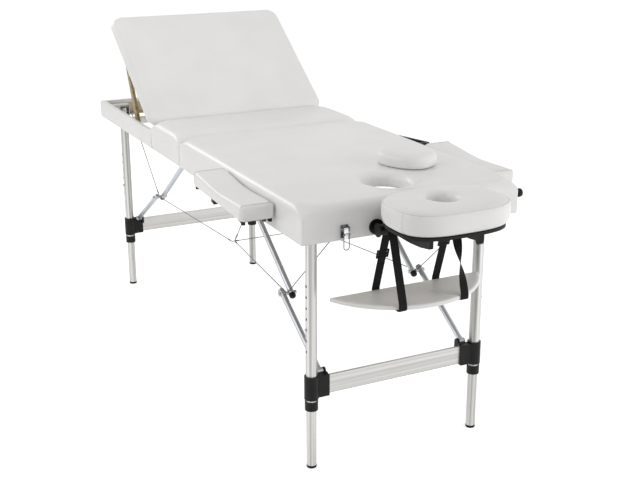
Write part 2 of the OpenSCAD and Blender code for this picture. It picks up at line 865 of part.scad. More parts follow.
module cradle_cushion() {
    n = 56;
    h = cradle_h;
    outer = [[10, 0], [3, h * 0.1], [0, h * 0.35], [0, h * 0.62], [3, h * 0.82], [9, h * 0.93],
        [20, h * 0.985]];
    inner = [[17, h], [11, h * 0.97], [5, h * 0.87], [1, h * 0.7], [0, h * 0.4], [3, 0]];
    rings = concat(
        [for (s = outer) lifted(oval(cradle_hx - s[0], cradle_hy - s[0], cradle_power, n), s[1])],
        [for (s = inner) lifted([for (p = oval(cradle_hole[0] + s[0], cradle_hole[1] + s[0], 2, n))
            p + [0, cradle_hole_in]], s[1])]);
    color(leather) translate([0, cradle_y, platform_z + platform_t]) holed_pad(rings);
}

// The cam lever and its round knob, on a shaft through the two arms
module cradle_lever() {
    color(black) {
        rod_x(lever_y, lever_z, [-plate_x - arm_plate - 6, plate_x + arm_plate + 6], 4);
        rod_x(lever_y, lever_z, [plate_x + arm_plate + 2, plate_x + arm_plate + 16], 11);
        box([plate_x + arm_plate + 4, plate_x + arm_plate + 14], [lever_y - 6, lever_y + 6],
            [lever_z - 34, lever_z]);
        rod_x(lever_y, lever_z - 34, [plate_x + arm_plate + 2, plate_x + arm_plate + 16], 9);
        rod_x(lever_y, lever_z, [-plate_x - arm_plate - 9, -plate_x - arm_plate - 2], 9);
    }
}

// Shelf hung from the cradle hubs

module shelf_board() {
    color(leather) translate([0, 0, shelf_z]) linear_extrude(shelf_t) intersection() {
        translate([0, shelf_front + shelf_r]) circle(r = shelf_r, $fn = 120);
        translate([-shelf_hx - 20, shelf_front - 1]) square([2 * shelf_hx + 40, shelf_l + 1]);
    }
}

// One strap outline in Y and Z: round the hub and down to both edges of the board, and under it
module strap_outline(grow) {
    r = strap_r + grow;
    back = shelf_back - hub_y + 1.2 + grow;
    front = shelf_front + shelf_sag - hub_y - 1.2 - grow;
    low = shelf_z - post_z - 0.2 - grow;
    high = low + shelf_t + 2 * grow;
    union() {
        circle(r = r);
        polygon([[-r * 0.94, 0], [0, r * 0.4], [r * 0.94, 0], [back, high], [back, low], [front, low],
            [front, high]]);
    }
}

shelf_sag = shelf_r - sqrt(shelf_r * shelf_r - pow(strap_x - strap_w / 2, 2));

module shelf_straps() {
    color(black) pair() translate([strap_x - strap_w / 2, hub_y, post_z]) {
        linear_extrude_x(strap_w) difference() {
            strap_outline(strap_t);
            strap_outline(0);
        }
    }
}

// Armrests

module armrest_frame() {
    color(black) {
        arm_tilted() box([arm_in + arm_edge, arm_out - arm_edge],
            [arm_y0 + arm_edge, arm_y0 + arm_l - arm_edge], [arm_z, arm_z + arm_board]);
        for (y = arm_rod_y) {
            rod_x(y, arm_rod_z, [arm_rod_in, arm_out - 30], arm_rod_r);
            box([arm_in + arm_edge, arm_out - 26], [y - 8, y + 8],
                [arm_rod_z, arm_z + arm_board / 2 + (y - arm_y0) * tan(arm_tilt)]);
        }
        arm_tilted() for (x = [arm_in + stud_in, arm_out - stud_in],
            y = [arm_y0 + stud_in, arm_y0 + arm_l - stud_in])
            rod_z(x, y, [arm_z + arm_board - stud_h, arm_z + arm_board], stud_r);
    }
}

// Raises the rear of an armrest's board and pad
module arm_tilted() {
    translate([0, arm_y0, arm_z]) rotate([arm_tilt, 0, 0]) translate([0, -arm_y0, -arm_z]) children();
}

module armrest_pad() {
    hx = arm_w / 2;
    hy = arm_l / 2;
    color(leather) arm_tilted() translate([arm_in + hx, arm_y0 + hy, arm_z + arm_board])
        pad(stack(hx, hy, 14, side(arm_pad_h, 9)), 0, arm_pad_h + crown);
}

module plug_cushion() {
    n = 48;
    h = plug_h;
    sides = [[8, 0], [2, h * 0.1], [0, h * 0.3], [0, h * 0.6], [4, h * 0.84], [12, h * 0.96], [30, h]];
    rings = [for (s = sides)
        lifted(oval(plug_hx - s[0], plug_hy - s[0], 2.5, n), s[1])];
    color(leather) translate([plug_x, -half_l + plug_end, cushion_top + crown * 0.75 + move_gap])
        rotate([0, 0, plug_turn]) pad(rings, 0, h + 1);
}

// Latches

module latch_lever() {
    color(alloy) {
        rod_x(latch_y, latch_z + 2, [latch_x - 13, latch_x + 13], 2);
        rod_x(latch_y, latch_z + 2, [latch_x - plate_hw, latch_x + plate_hw], 4);
        box([latch_x - plate_hw, latch_x + plate_hw], [latch_y - 4, latch_y - 1],
            [latch_z - 26, latch_z + 2]);
        rod_x(bail_y, bail_z, [latch_x - 5, latch_x + 5], 2.4);
        box([latch_x - 5, latch_x + 5], [bail_y, latch_y - 1], [bail_z - 2.4, bail_z + 2.4]);
        rod_x(bail_y, bail_z, [latch_x - 9.4, latch_x + 9.4], 1);
    }
}

module latch_bail() {
    low = panel_z - 16;
    color(alloy) {
        for (s = [-8, 8]) difference() {
            union() {
                rod_x(bail_y, bail_z, [latch_x + s - 1.3, latch_x + s + 1.3], 3);
                rod_z(latch_x + s, bail_y, [low, bail_z - 2], wire_r);
            }
            rod_x(bail_y, bail_z, [latch_x + s - 2, latch_x + s + 2], 1 + run_gap);
        }
        translate([latch_x, bail_y, low]) rotate([90, 0, 0]) rotate_extrude(angle = -180)
            translate([8, 0]) circle(r = wire_r, $fn = 24);
    }
}

module on_left() {
    mirror([1, 0, 0]) children();
}

translate([0, origin_y, 0]) {
    front_side_rails();
    front_end_rails();
    front_deck();
    front_cover();
    front_cushion();
    front_brackets();
    side_fittings();
    latch_plates();
    hinge_pins();
    rear_side_rails();
    rear_end_rails();
    rear_deck();
    rear_cover();
    seat_cushion();
    rear_brackets();
    backrest_fittings();
    backrest_board();
    backrest_cushion();
    backrest_pins();
    prop_struts();
    front_outer_tubes();
    front_crossbars();
    front_clamps();
    rear_outer_tubes();
    rear_crossbars();
    rear_clamps();
    color(alloy) at_leg(false, false) inner_leg();  // inner_leg_fl
    color(alloy) at_leg(true, false) inner_leg();  // inner_leg_fr
    color(alloy) at_leg(false, true) inner_leg();  // inner_leg_rl
    color(alloy) at_leg(true, true) inner_leg();  // inner_leg_rr
    color(black) at_leg(false, false) foot();  // foot_fl
    color(black) at_leg(true, false) foot();  // foot_fr
    color(black) at_leg(false, true) foot();  // foot_rl
    color(black) at_leg(true, true) foot();  // foot_rr
    color(steel) at_leg(false, false) button();  // button_fl
    color(steel) at_leg(true, false) button();  // button_fr
    color(steel) at_leg(false, true) button();  // button_rl
    color(steel) at_leg(true, true) button();  // button_rr
    front_upper_braces();
    front_lower_braces();
    rear_upper_braces();
    rear_lower_braces();
    cables();
    cradle_base();
    cradle_arms();
    cradle_platform();
    cradle_cushion();
    cradle_lever();
    shelf_board();
    shelf_straps();
    on_left() armrest_frame();  // armrest_frame_l
    armrest_frame();  // armrest_frame_r
    on_left() armrest_pad();  // armrest_pad_l
    armrest_pad();  // armrest_pad_r
    plug_cushion();
    on_left() latch_lever();  // latch_lever_l
    latch_lever();  // latch_lever_r
    on_left() latch_bail();  // latch_bail_l
    latch_bail();  // latch_bail_r
}
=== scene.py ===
# %% [markdown]
# A portable treatment table: a padded top in three sections on folding aluminium legs, with a head
# cradle, a hanging arm shelf and side armrests. The construction comes packed from the CAD source as a
# fixed frame. This script gives every part its surface, and replaces the soft solids by upholstery
# worked out with numpy.

import bmesh
import bpy
import numpy as np
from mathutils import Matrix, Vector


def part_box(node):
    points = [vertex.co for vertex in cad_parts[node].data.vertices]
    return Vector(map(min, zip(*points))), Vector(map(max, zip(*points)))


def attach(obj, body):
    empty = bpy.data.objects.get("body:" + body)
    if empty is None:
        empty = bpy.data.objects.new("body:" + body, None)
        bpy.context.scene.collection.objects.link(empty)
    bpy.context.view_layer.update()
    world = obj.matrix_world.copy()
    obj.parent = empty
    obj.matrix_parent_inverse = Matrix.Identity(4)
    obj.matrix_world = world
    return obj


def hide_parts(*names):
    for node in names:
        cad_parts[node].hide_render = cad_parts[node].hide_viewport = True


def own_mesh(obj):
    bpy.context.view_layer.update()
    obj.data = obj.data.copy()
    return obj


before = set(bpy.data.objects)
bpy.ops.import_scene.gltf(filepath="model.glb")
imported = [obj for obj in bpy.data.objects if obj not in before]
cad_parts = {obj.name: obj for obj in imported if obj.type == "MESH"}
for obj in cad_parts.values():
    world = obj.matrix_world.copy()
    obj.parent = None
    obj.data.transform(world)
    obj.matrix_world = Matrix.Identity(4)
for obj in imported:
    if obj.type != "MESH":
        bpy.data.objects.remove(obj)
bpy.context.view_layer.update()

MM = 0.001
FOLD_Y = float(np.mean(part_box("hinge_pins"), axis=0)[1]) / MM  # the fold lies on its hinge pins

# %% [markdown]
# The camera stands where the photograph was taken from. It could be moved by eye until the picture
# fits. Its place and lens were fitted to the table's corners and feet instead, because one degree moves
# the far leg by many pixels.

# %% Camera
SENSOR_MM = 36.0
IMAGE_W = 640
FOCAL_PX = 1086.63
CAMERA_AT = (-1488.75, -3322.75, 1587.43)
CAMERA_TURN = np.radians(-26.652)
CAMERA_DROP = np.radians(18.142)
LEVEL = np.pi / 2  # a camera turned this far about X looks along the floor


def put(name, data):
    """A new object with the given data, linked into the scene."""
    made = bpy.data.objects.new(name, data)
    bpy.context.scene.collection.objects.link(made)
    return made


camera_data = bpy.data.cameras.new("camera")
camera_data.sensor_width = SENSOR_MM
camera_data.lens = FOCAL_PX * SENSOR_MM / IMAGE_W
camera = put("camera", camera_data)
camera.location = (CAMERA_AT[0] * MM, (CAMERA_AT[1] + FOLD_Y) * MM, CAMERA_AT[2] * MM)
camera.rotation_euler = (LEVEL - CAMERA_DROP, 0.0, CAMERA_TURN)
bpy.context.scene.camera = camera
bpy.context.scene.view_settings.view_transform = "Standard"
print("lens of", round(camera_data.lens, 2), "mm at", [round(v, 3) for v in camera.location])

# %% [markdown]
# Materials start from what each part is made of and how its surface was made. They could be clicked
# together in the shader editor. Written out, each recipe is a short list that can be read and changed.
# One function turns an sRGB hex colour to linear light, and one adds a node with its settings and
# links.

# %% Colour and node helpers


def linear(code, alpha=1.0):
    """An sRGB hex colour as linear light: the usual curve, channel by channel."""
    s = np.array([int(code[i:i + 2], 16) for i in (1, 3, 5)]) / 255
    return (*np.where(s <= 0.04045, s / 12.92, ((s + 0.055) / 1.055) ** 2.4).tolist(), alpha)


def blank(name):
    """A new material and its node tree, which starts with a Principled shader."""
    material = bpy.data.materials.new(name)
    material.use_nodes = True
    return material, material.node_tree


def add(tree, kind, links=None, stops=(), **settings):
    """Adds a node of a kind, or takes the one of that name that the tree starts with. links maps a socket
    to a value or to another node's output. stops are a ramp's places and hex colours, and settings are the
    node's properties."""
    node = tree.nodes.get(kind) or tree.nodes.new(kind)
    for key, value in settings.items():
        setattr(node, key, value)
    for key, value in (links or {}).items():
        if isinstance(value, bpy.types.NodeSocket):
            tree.links.new(value, node.inputs[key])
        else:
            node.inputs[key].default_value = value
    if stops:
        elements = node.color_ramp.elements
        for element, (place, code) in zip((elements[0], elements[1]), (stops[0], stops[-1])):
            element.position, element.color = place, linear(code)
        for place, code in stops[1:-1]:
            elements.new(place).color = linear(code)
    return node


def per_metre(size_mm):
    """A pattern's scale: how many times a size fits into a metre."""
    return 1 / (size_mm * MM)


print("middle grey in linear light", round(linear("#808080")[0], 3))

# %% [markdown]
# The covers are polyurethane leather: a soft plastic skin, embossed with a fine pebble grain and wiped
# to a satin gloss. A picture of leather could be mapped on. A cell pattern worked out in the shader has
# no seams and doesn't stretch. Real pebbles are about a millimetre across. They are drawn at 2.5 mm,
# because finer ones vanish.

# %% Polyurethane leather
PLASTIC_IOR = 1.5  # also that of nylon and varnish
PEBBLE_MM = 2.5
CREASE_MM = 9.0
CLOUD_MM = 140.0


def leather(name, stops):
    """Pebbles are cell distances of a Voronoi pattern. Slow noise moves the colour between two whites."""
    material, tree = blank(name)
    place = add(tree, "ShaderNodeTexCoord").outputs["Object"]
    cloud = add(tree, "ShaderNodeTexNoise", {"Vector": place, "Scale": per_metre(CLOUD_MM), "Detail": 3.0})
    colour = add(tree, "ShaderNodeValToRGB", {"Fac": cloud.outputs["Fac"]}, stops)
    pebble = add(tree, "ShaderNodeTexVoronoi", {"Vector": place, "Scale": per_metre(PEBBLE_MM)},
                 feature="DISTANCE_TO_EDGE")
    crease = add(tree, "ShaderNodeTexNoise", {"Vector": place, "Scale": per_metre(CREASE_MM),
                                              "Detail": 4.0}).outputs["Fac"]
    height = add(tree, "ShaderNodeMath", {0: pebble.outputs["Distance"], 1: crease},
                 operation="ADD").outputs[0]
    bump = add(tree, "ShaderNodeBump", {"Height": height, "Strength": 0.16, "Distance": 0.5 * MM})
    gloss = add(tree, "ShaderNodeMapRange", {"Value": crease, "To Min": 0.29, "To Max": 0.41})
    add(tree, "Principled BSDF", {"Base Color": colour.outputs["Color"], "Roughness": gloss.outputs[0],
                                  "Normal": bump.outputs["Normal"], "IOR": PLASTIC_IOR})
    return material


white_leather = leather("polyurethane_leather", [(0.35, "#E9E8E6"), (0.65, "#EDECEA")])
piping_leather = leather("polyurethane_leather_piping", [(0.35, "#DCDBD8"), (0.65, "#E2E2DF")])
print("leather finishes:", white_leather.name, piping_leather.name)

# %% [markdown]
# The legs are drawn aluminium tube, anodised clear. The drawing die leaves bands along the tube, some
# brighter and some duller, and fine scratches between them. An anisotropic shader would stretch the
# highlights, but it gives no bands. Noise stretched along one axis, and turned to the slope on the
# braces, does. Real die lines are under a millimetre apart. The bands are drawn 7 mm wide, because
# finer ones vanish.

# %% Anodised aluminium
STREAK_MM = 7.0
STREAK_LONG = 120.0  # how many times longer than wide a band is
DRAWN = [(0.32, "#92928F"), (0.5, "#BAB9B7"), (0.66, "#D8D7D5")]
SATIN = [(0.3, "#BAB9B7"), (0.5, "#C6C5C3"), (0.7, "#D1D0CE")]
# The brace tones are painted paler and bluer than the tube's own colour. This painted counter-reflection
# cancels the brown that the braces mirror from the shaded wood above them.
BRACE_TONE_PAINTED_AGAINST_REFLECTION = [(0.3, "#AEB2B8"), (0.5, "#BDC1C7"), (0.7, "#CCD0D6")]
X_AXIS, Y_AXIS, Z_AXIS = 0, 1, 2
BRACE_TILT = np.radians(34.0)


def aluminium(name, axis, stops, tilt=0.0):
    """Noise squeezed along the tube's axis, after a turn by tilt about X, moves gloss, colour and bump."""
    material, tree = blank(name)
    place = add(tree, "ShaderNodeTexCoord").outputs["Object"]
    turned = add(tree, "ShaderNodeMapping", {"Vector": place, "Rotation": (tilt, 0.0, 0.0)})
    scale = [per_metre(STREAK_MM)] * 3
    scale[axis] /= STREAK_LONG
    squeezed = add(tree, "ShaderNodeMapping", {"Vector": turned.outputs[0], "Scale": scale})
    streak = add(tree, "ShaderNodeTexNoise", {"Vector": squeezed.outputs[0], "Scale": 1.0,
                                              "Detail": 2.0}).outputs["Fac"]
    colour = add(tree, "ShaderNodeValToRGB", {"Fac": streak}, stops)
    gloss = add(tree, "ShaderNodeMapRange", {"Value": streak, "To Min": 0.48, "To Max": 0.3})
    bump = add(tree, "ShaderNodeBump", {"Height": streak, "Strength": 0.08, "Distance": 0.2 * MM})
    add(tree, "Principled BSDF", {"Metallic": 1.0, "Base Color": colour.outputs["Color"],
                                  "Roughness": gloss.outputs[0], "Normal": bump.outputs["Normal"]})
    return material


upright_aluminium = aluminium("anodised_aluminium_upright", Z_AXIS, DRAWN)
crossbar_aluminium = aluminium("anodised_aluminium_crossbar", X_AXIS, SATIN)
front_brace_aluminium = aluminium("anodised_aluminium_front_brace", Y_AXIS, BRACE_TONE_PAINTED_AGAINST_REFLECTION, -BRACE_TILT)
rear_brace_aluminium = aluminium("anodised_aluminium_rear_brace", Y_AXIS, BRACE_TONE_PAINTED_AGAINST_REFLECTION, BRACE_TILT)
print("aluminium bands of", STREAK_MM, "by", STREAK_MM * STREAK_LONG, "mm")

# %% [markdown]
# Small metal comes in three finishes: zinc plating, a slightly mottled grey, on brackets and pins;
# duller galvanising on cables, latch plates and wire bails; and bright chrome on the latch levers. One
# plain grey each would do from afar. A fine noise in colour and gloss keeps them from looking like
# plastic near by.

# %% Plated steel


def plated(name, stops, gloss, grain_mm):
    """Fine noise moves colour and roughness between two close values."""
    material, tree = blank(name)
    place = add(tree, "ShaderNodeTexCoord").outputs["Object"]
    grain = add(tree, "ShaderNodeTexNoise", {"Vector": place, "Scale": per_metre(grain_mm),
                                             "Detail": 3.0}).outputs["Fac"]
    colour = add(tree, "ShaderNodeValToRGB", {"Fac": grain}, stops)
    rough = add(tree, "ShaderNodeMapRange", {"Value": grain, "To Min": gloss[0], "To Max": gloss[1]})
    add(tree, "Principled BSDF", {"Metallic": 1.0, "Base Color": colour.outputs["Color"],
                                  "Roughness": rough.outputs[0]})
    return material


zinc_steel = plated("zinc_plated_steel", [(0.35, "#A3A5A7"), (0.65, "#B9BBBD")], gloss=(0.28, 0.42),
                    grain_mm=6.0)
wire_steel = plated("galvanised_wire", [(0.35, "#66676A"), (0.65, "#77787A")], gloss=(0.35, 0.5),
                    grain_mm=3.0)
bright_chrome = plated("bright_chrome", [(0.35, "#CCCDCE"), (0.65, "#D8D9DA")], gloss=(0.06, 0.14),
                       grain_mm=12.0)
print("plated finishes:", zinc_steel.name, wire_steel.name, bright_chrome.name)

# %% [markdown]
# The clamps, hubs and cradle parts are black moulded plastic. The mould is spark-eroded, which leaves a
# fine even stipple of about half a millimetre. It could be cut into the mesh. As bump it costs no
# faces, and it is drawn at 1.5 mm so that it shows. The rubber feet are duller.

# %% Moulded plastic and rubber
SHADE_MM = 40.0


def moulded(name, stops, stipple_mm, gloss, strength):
    """Stipple noise gives the bump and moves the roughness; a slow noise shifts the black a little."""
    material, tree = blank(name)
    place = add(tree, "ShaderNodeTexCoord").outputs["Object"]
    stipple = add(tree, "ShaderNodeTexNoise", {"Vector": place, "Scale": per_metre(stipple_mm),
                                               "Detail": 2.0}).outputs["Fac"]
    slow = add(tree, "ShaderNodeTexNoise", {"Vector": place, "Scale": per_metre(SHADE_MM)})
    colour = add(tree, "ShaderNodeValToRGB", {"Fac": slow.outputs["Fac"]}, stops)
    rough = add(tree, "ShaderNodeMapRange", {"Value": stipple, "To Min": gloss[0], "To Max": gloss[1]})
    bump = add(tree, "ShaderNodeBump", {"Height": stipple, "Strength": strength, "Distance": 0.3 * MM})
    add(tree, "Principled BSDF", {"Base Color": colour.outputs["Color"], "Roughness": rough.outputs[0],
                                  "Normal": bump.outputs["Normal"], "IOR": PLASTIC_IOR,
                                  "Specular IOR Level": 0.22})
    return material


black_plastic = moulded("moulded_abs", [(0.3, "#0E0E0E"), (0.7, "#161615")], stipple_mm=1.5,
                        gloss=(0.36, 0.5), strength=0.25)
black_rubber = moulded("moulded_rubber", [(0.3, "#0F0F0F"), (0.7, "#151515")], stipple_mm=2.0,
                       gloss=(0.7, 0.85), strength=0.2)
print("moulded finishes:", black_plastic.name, black_rubber.name)

# %% [markdown]
# The shelf's straps are woven nylon webbing. Threads could be modelled one by one, at the cost of many
# thousand faces. Two crossed waves on the strip's own map follow its bends instead. Real threads are
# about a millimetre wide. They are drawn at 2.2 mm, because finer ones vanish.

# %% Nylon webbing
THREAD_MM = 2.2
WAVE_PERIOD = 0.31  # a wave texture of scale 1 repeats after this length

nylon_webbing, tree = blank("nylon_webbing")
strip_place = add(tree, "ShaderNodeUVMap", uv_map="strip").outputs["UV"]
thread = {"Vector": strip_place, "Scale": WAVE_PERIOD * per_metre(THREAD_MM)}
waves = [add(tree, "ShaderNodeTexWave", thread, bands_direction=way).outputs["Fac"] for way in ("X", "Y")]
weave = add(tree, "ShaderNodeMath", {0: waves[0], 1: waves[1]}, operation="MULTIPLY").outputs[0]
colour = add(tree, "ShaderNodeValToRGB", {"Fac": weave}, [(0.0, "#080808"), (1.0, "#1B1B1B")])
bump = add(tree, "ShaderNodeBump", {"Height": weave, "Strength": 0.5, "Distance": 0.6 * MM})
add(tree, "Principled BSDF", {"Base Color": colour.outputs["Color"], "Normal": bump.outputs["Normal"],
                              "IOR": PLASTIC_IOR, "Roughness": 0.8, "Specular IOR Level": 0.25,
                              "Sheen Weight": 0.06, "Sheen Roughness": 0.5})
print("webbing threads every", THREAD_MM, "mm")

# %% [markdown]
# The frame is beech with plywood boards, varnished. Beech has short flecks and faint long grain. It
# shows inside the open bay at the foot end, on the props, and under the top. A wood picture would
# repeat on the long rails. Two stretched noises never do.

# %% Varnished beech and plywood
GRAIN_MM = (14.0, 260.0)  # width and length of the long grain
FLECK_MM = (2.2, 18.0)
FLECK_SHARE = 0.35
PROP_BEECH = [(0.45, "#8C7A4E"), (0.65, "#A8966A"), (0.85, "#75633C")]
PALE_BEECH = [(0.45, "#B7A785"), (0.65, "#C9BC9F"), (0.85, "#A69473")]
PLYWOOD = [(0.45, "#C9C0AC"), (0.65, "#D6CFBE"), (0.85, "#BDB39C")]


def timber(name, axis, stops):
    """Noise stretched along the grain drives the colour; a finer stretched noise adds flecks."""
    material, tree = blank(name)
    place = add(tree, "ShaderNodeTexCoord").outputs["Object"]
    noises = []
    for wide, long in (GRAIN_MM, FLECK_MM):
        scale = [per_metre(wide)] * 3
        scale[axis] = per_metre(long)
        stretched = add(tree, "ShaderNodeMapping", {"Vector": place, "Scale": scale}).outputs[0]
        noises.append(add(tree, "ShaderNodeTexNoise", {"Vector": stretched, "Scale": 1.0, "Detail": 3.0}))
    grain, fleck = [noise.outputs["Fac"] for noise in noises]
    mix = add(tree, "ShaderNodeMath", {0: fleck, 1: FLECK_SHARE, 2: grain}, operation="MULTIPLY_ADD")
    colour = add(tree, "ShaderNodeValToRGB", {"Fac": mix.outputs[0]}, stops)
    bump = add(tree, "ShaderNodeBump", {"Height": fleck, "Strength": 0.1, "Distance": 0.3 * MM})
    add(tree, "Principled BSDF", {"Base Color": colour.outputs["Color"], "Normal": bump.outputs["Normal"],
                                  "IOR": PLASTIC_IOR, "Roughness": 0.42})
    return material


beech_prop = timber("varnished_beech_prop", Y_AXIS, PROP_BEECH)
beech_along = timber("varnished_beech_along", Y_AXIS, PALE_BEECH)
beech_across = timber("varnished_beech_across", X_AXIS, PALE_BEECH)
birch_plywood = timber("birch_plywood", X_AXIS, PLYWOOD)
print("timber finishes:", beech_prop.name, beech_along.name, beech_across.name, birch_plywood.name)

# %% [markdown]
# Rigid parts keep their exact CAD shape and only get a finish. Each could be given its material by hand
# in the material tab. A table of finish to nodes is shorter, and shows at a glance what is made of
# what.

# %% Materials on the CAD nodes
FINISHES = {
    beech_along: ["front_side_rails", "rear_side_rails"],
    beech_prop: ["prop_struts"],
    beech_across: ["front_end_rails", "rear_end_rails"],
    birch_plywood: ["front_deck", "rear_deck", "backrest_board"],
    zinc_steel: ["front_brackets", "rear_brackets", "hinge_pins", "backrest_fittings", "backrest_pins",
                 "button_fl", "button_fr", "button_rl", "button_rr"],
    bright_chrome: ["latch_lever_l", "latch_lever_r"],
    wire_steel: ["latch_plates", "latch_bail_l", "latch_bail_r"],
    upright_aluminium: ["front_outer_tubes", "rear_outer_tubes", "inner_leg_fl", "inner_leg_fr",
                        "inner_leg_rl", "inner_leg_rr"],
    crossbar_aluminium: ["front_crossbars", "rear_crossbars"],
    front_brace_aluminium: ["front_upper_braces", "front_lower_braces"],
    rear_brace_aluminium: ["rear_upper_braces", "rear_lower_braces"],
    black_plastic: ["side_fittings", "front_clamps", "rear_clamps", "cradle_base", "cradle_arms",
                    "cradle_platform", "cradle_lever", "armrest_frame_l", "armrest_frame_r"],
    black_rubber: ["foot_fl", "foot_fr", "foot_rl", "foot_rr"],
}
for finish, names in FINISHES.items():
    for name in names:
        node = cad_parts[name]
        node.data.materials.clear()
        node.data.materials.append(finish)
print("materials on", sum(len(n) for n in FINISHES.values()), "nodes")

# %% [markdown]
# Every new piece below is a grid of points: rows of a profile carried round an outline. Modelling by
# hand gives the same meshes, but no record of how. Two helpers turn such grids into a mesh, and a third
# dresses a pad in leather. A grid may be closed round its columns, along its rows, or both, and rows that
# shrink to a line are merged there, so each shell ends up closed.

# %% Mesh helpers
MERGE_M = 1e-6


def shell(grid, around=True, along=False):
    """Points and faces of a grid: every four neighbours make a face, wrapped where it is closed."""
    rows, columns = grid.shape[:2]
    index = np.arange(rows * columns).reshape(rows, columns)
    if around:
        index = np.hstack([index, index[:, :1]])
    if along:
        index = np.vstack([index, index[:1]])
    faces = np.stack([index[:-1, :-1], index[:-1, 1:], index[1:, 1:], index[1:, :-1]], axis=-1)
    return grid.reshape(-1, 3), faces.reshape(-1, 4)


def piece(name, shells, material, body, sharp=None, strip_map=None):
    """One object from several shells given in millimetres about the fold: merged, faces outwards, in
    metres. strip_map gives each point its place across and along a strip."""
    counts = np.cumsum([0] + [len(points) for points, _ in shells])
    points = np.concatenate([p for p, _ in shells]) + (0.0, FOLD_Y, 0.0)
    faces = np.concatenate([f + n for (_, f), n in zip(shells, counts)])
    mesh = bpy.data.meshes.new(name)
    mesh.from_pydata((points * MM).tolist(), [], faces.tolist())
    if strip_map is not None:
        layer = mesh.uv_layers.new(name="strip")
        corners = np.empty(len(mesh.loops), dtype=int)
        mesh.loops.foreach_get("vertex_index", corners)
        layer.data.foreach_set("uv", (strip_map[corners] * MM).ravel())
    work = bmesh.new()
    work.from_mesh(mesh)
    bmesh.ops.remove_doubles(work, verts=work.verts, dist=MERGE_M)
    bmesh.ops.dissolve_degenerate(work, edges=work.edges, dist=MERGE_M)
    bmesh.ops.recalc_face_normals(work, faces=work.faces)
    work.to_mesh(mesh)
    work.free()
    mesh.shade_smooth()
    if sharp is not None:
        mesh.set_sharp_from_angle(angle=np.radians(sharp))
    mesh.materials.append(material)
    made = put(name, mesh)
    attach(made, body)
    print(name, len(mesh.polygons), "faces")
    return made


def pad(name, shells, body, *nodes, fill, sharp=None):
    """An upholstered piece in white leather that stands for soft CAD nodes. fill is not used."""
    made = piece(name, shells, white_leather, body, sharp)
    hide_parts(*nodes)


print("mesh points closer than", MERGE_M / MM, "mm are merged")

# %% [markdown]
# Cushions are drawn round an outline: a rounded rectangle or a squarish oval. A bevelled box would give
# the first, but with different points for each size. Here every rounded rectangle has the same number
# of points at the same places, so rows of different size join without twisting.

# %% Outlines
CORNER_N = 10
SIDE_N = 48
PER_CORNER = CORNER_N + 1
ROUND = 2.0  # the power of a plain ellipse

corner_of, step_of = np.divmod(np.arange(4 * (PER_CORNER + SIDE_N)), PER_CORNER + SIDE_N)
FIRST = corner_of * PER_CORNER + np.minimum(step_of, CORNER_N)
SECOND = np.where(step_of <= CORNER_N, FIRST, (corner_of + 1) * PER_CORNER % (4 * PER_CORNER))
WAY = (np.maximum(step_of - CORNER_N, 0) / (SIDE_N + 1))[:, None]
ARC = np.linspace(0, np.pi / 2, PER_CORNER)
ANGLES = np.concatenate([ARC + k * np.pi / 2 for k in range(4)])
SIGN_X = np.repeat([1, -1, -1, 1], PER_CORNER)
SIGN_Y = np.repeat([1, 1, -1, -1], PER_CORNER)


def rounded(hx, hy, r):
    """Rounded rectangles of half sizes hx and hy: corner arcs of radius r, and each column of a straight
    side at its way between the FIRST and the SECOND corner point."""
    hx, hy, r = [np.asarray(size)[..., None] for size in (hx, hy, r)]
    x = SIGN_X * (hx - r) + r * np.cos(ANGLES)
    y = SIGN_Y * (hy - r) + r * np.sin(ANGLES)
    corners = np.stack([x, y], axis=-1)
    return corners[..., FIRST, :] * (1 - WAY) + corners[..., SECOND, :] * WAY


def oval(rx, ry, power, turns):
    """Superellipses: the cosine and sine of each turn, raised to 2 / power with their signs kept."""
    rx, ry = np.asarray(rx)[..., None], np.asarray(ry)[..., None]
    c, s = np.cos(turns), np.sin(turns)
    x = rx * np.sign(c) * np.abs(c) ** (2 / power)
    y = ry * np.sign(s) * np.abs(s) ** (2 / power)
    return np.stack([x, y], axis=-1)


def middle(points, hx, hy):
    """The nearest point of the outline's middle line, where rows shrink to close a top or a bottom."""
    if hx > hy:
        return np.stack([np.clip(points[..., 0], hy - hx, hx - hy), np.zeros(points.shape[:-1])], axis=-1)
    return np.stack([np.zeros(points.shape[:-1]), np.clip(points[..., 1], hx - hy, hy - hx)], axis=-1)


print("each rounded rectangle has", len(FIRST), "points")

# %% [markdown]
# Rows of points become a soft surface in a few moves: blend one outline into another, lift it to a
# height, round it over an edge, crown it in the middle. A cloth simulation could blow the covers up.
# These moves take no time, give the same shape each run, and a slow swell keeps the leather from
# looking machined.

# %% Surface helpers
WAVE_N = 5


def smooth(value, low, high):
    """Goes from 0 at low to 1 at high with level ends."""
    t = np.clip((value - low) / (high - low), 0.0, 1.0)
    return t * t * (3 - 2 * t)


def between(start, end, shares):
    """Rings on the way from one ring to another: a blend by each share."""
    t = np.asarray(shares)[:, None, None]
    return start * (1 - t) + end * t


def lift(points, height):
    """Adds a height to flat points."""
    return np.concatenate([points, np.broadcast_to(height, points.shape[:-1])[..., None]], axis=-1)


def over_edge(below, top, radius, drop, count, out=0.0):
    """Insets and heights up a side: the rows below, then a quarter ellipse over the edge to the top."""
    a = np.linspace(0, np.pi / 2, count)
    quarter = np.stack([radius * (1 - np.cos(a)) - out, top - drop * (1 - np.sin(a))], axis=-1)
    return np.concatenate([below, quarter]).T


def crowned(points, hx, hy, height):
    """Crown of a cushion: full in the middle and level with the edge at the sides."""
    across = 1 - np.clip(np.abs(points[..., 0]) / hx, 0, 1) ** 3
    along = 1 - np.clip(np.abs(points[..., 1]) / hy, 0, 1) ** 3
    return height * across * along


def swell(grid, size, amount, seed):
    """Slow waves that push points in and out, as stretched foam and leather do: a mean of sines."""
    draw = np.random.default_rng(seed)
    waves = draw.normal(size=(WAVE_N, 3)) * 2 * np.pi / size
    phases = draw.uniform(0, 2 * np.pi, WAVE_N)
    return amount * np.sin(grid @ waves.T + phases).mean(axis=-1)


print("half way, a smooth step is at", smooth(0.5, 0.0, 1.0))

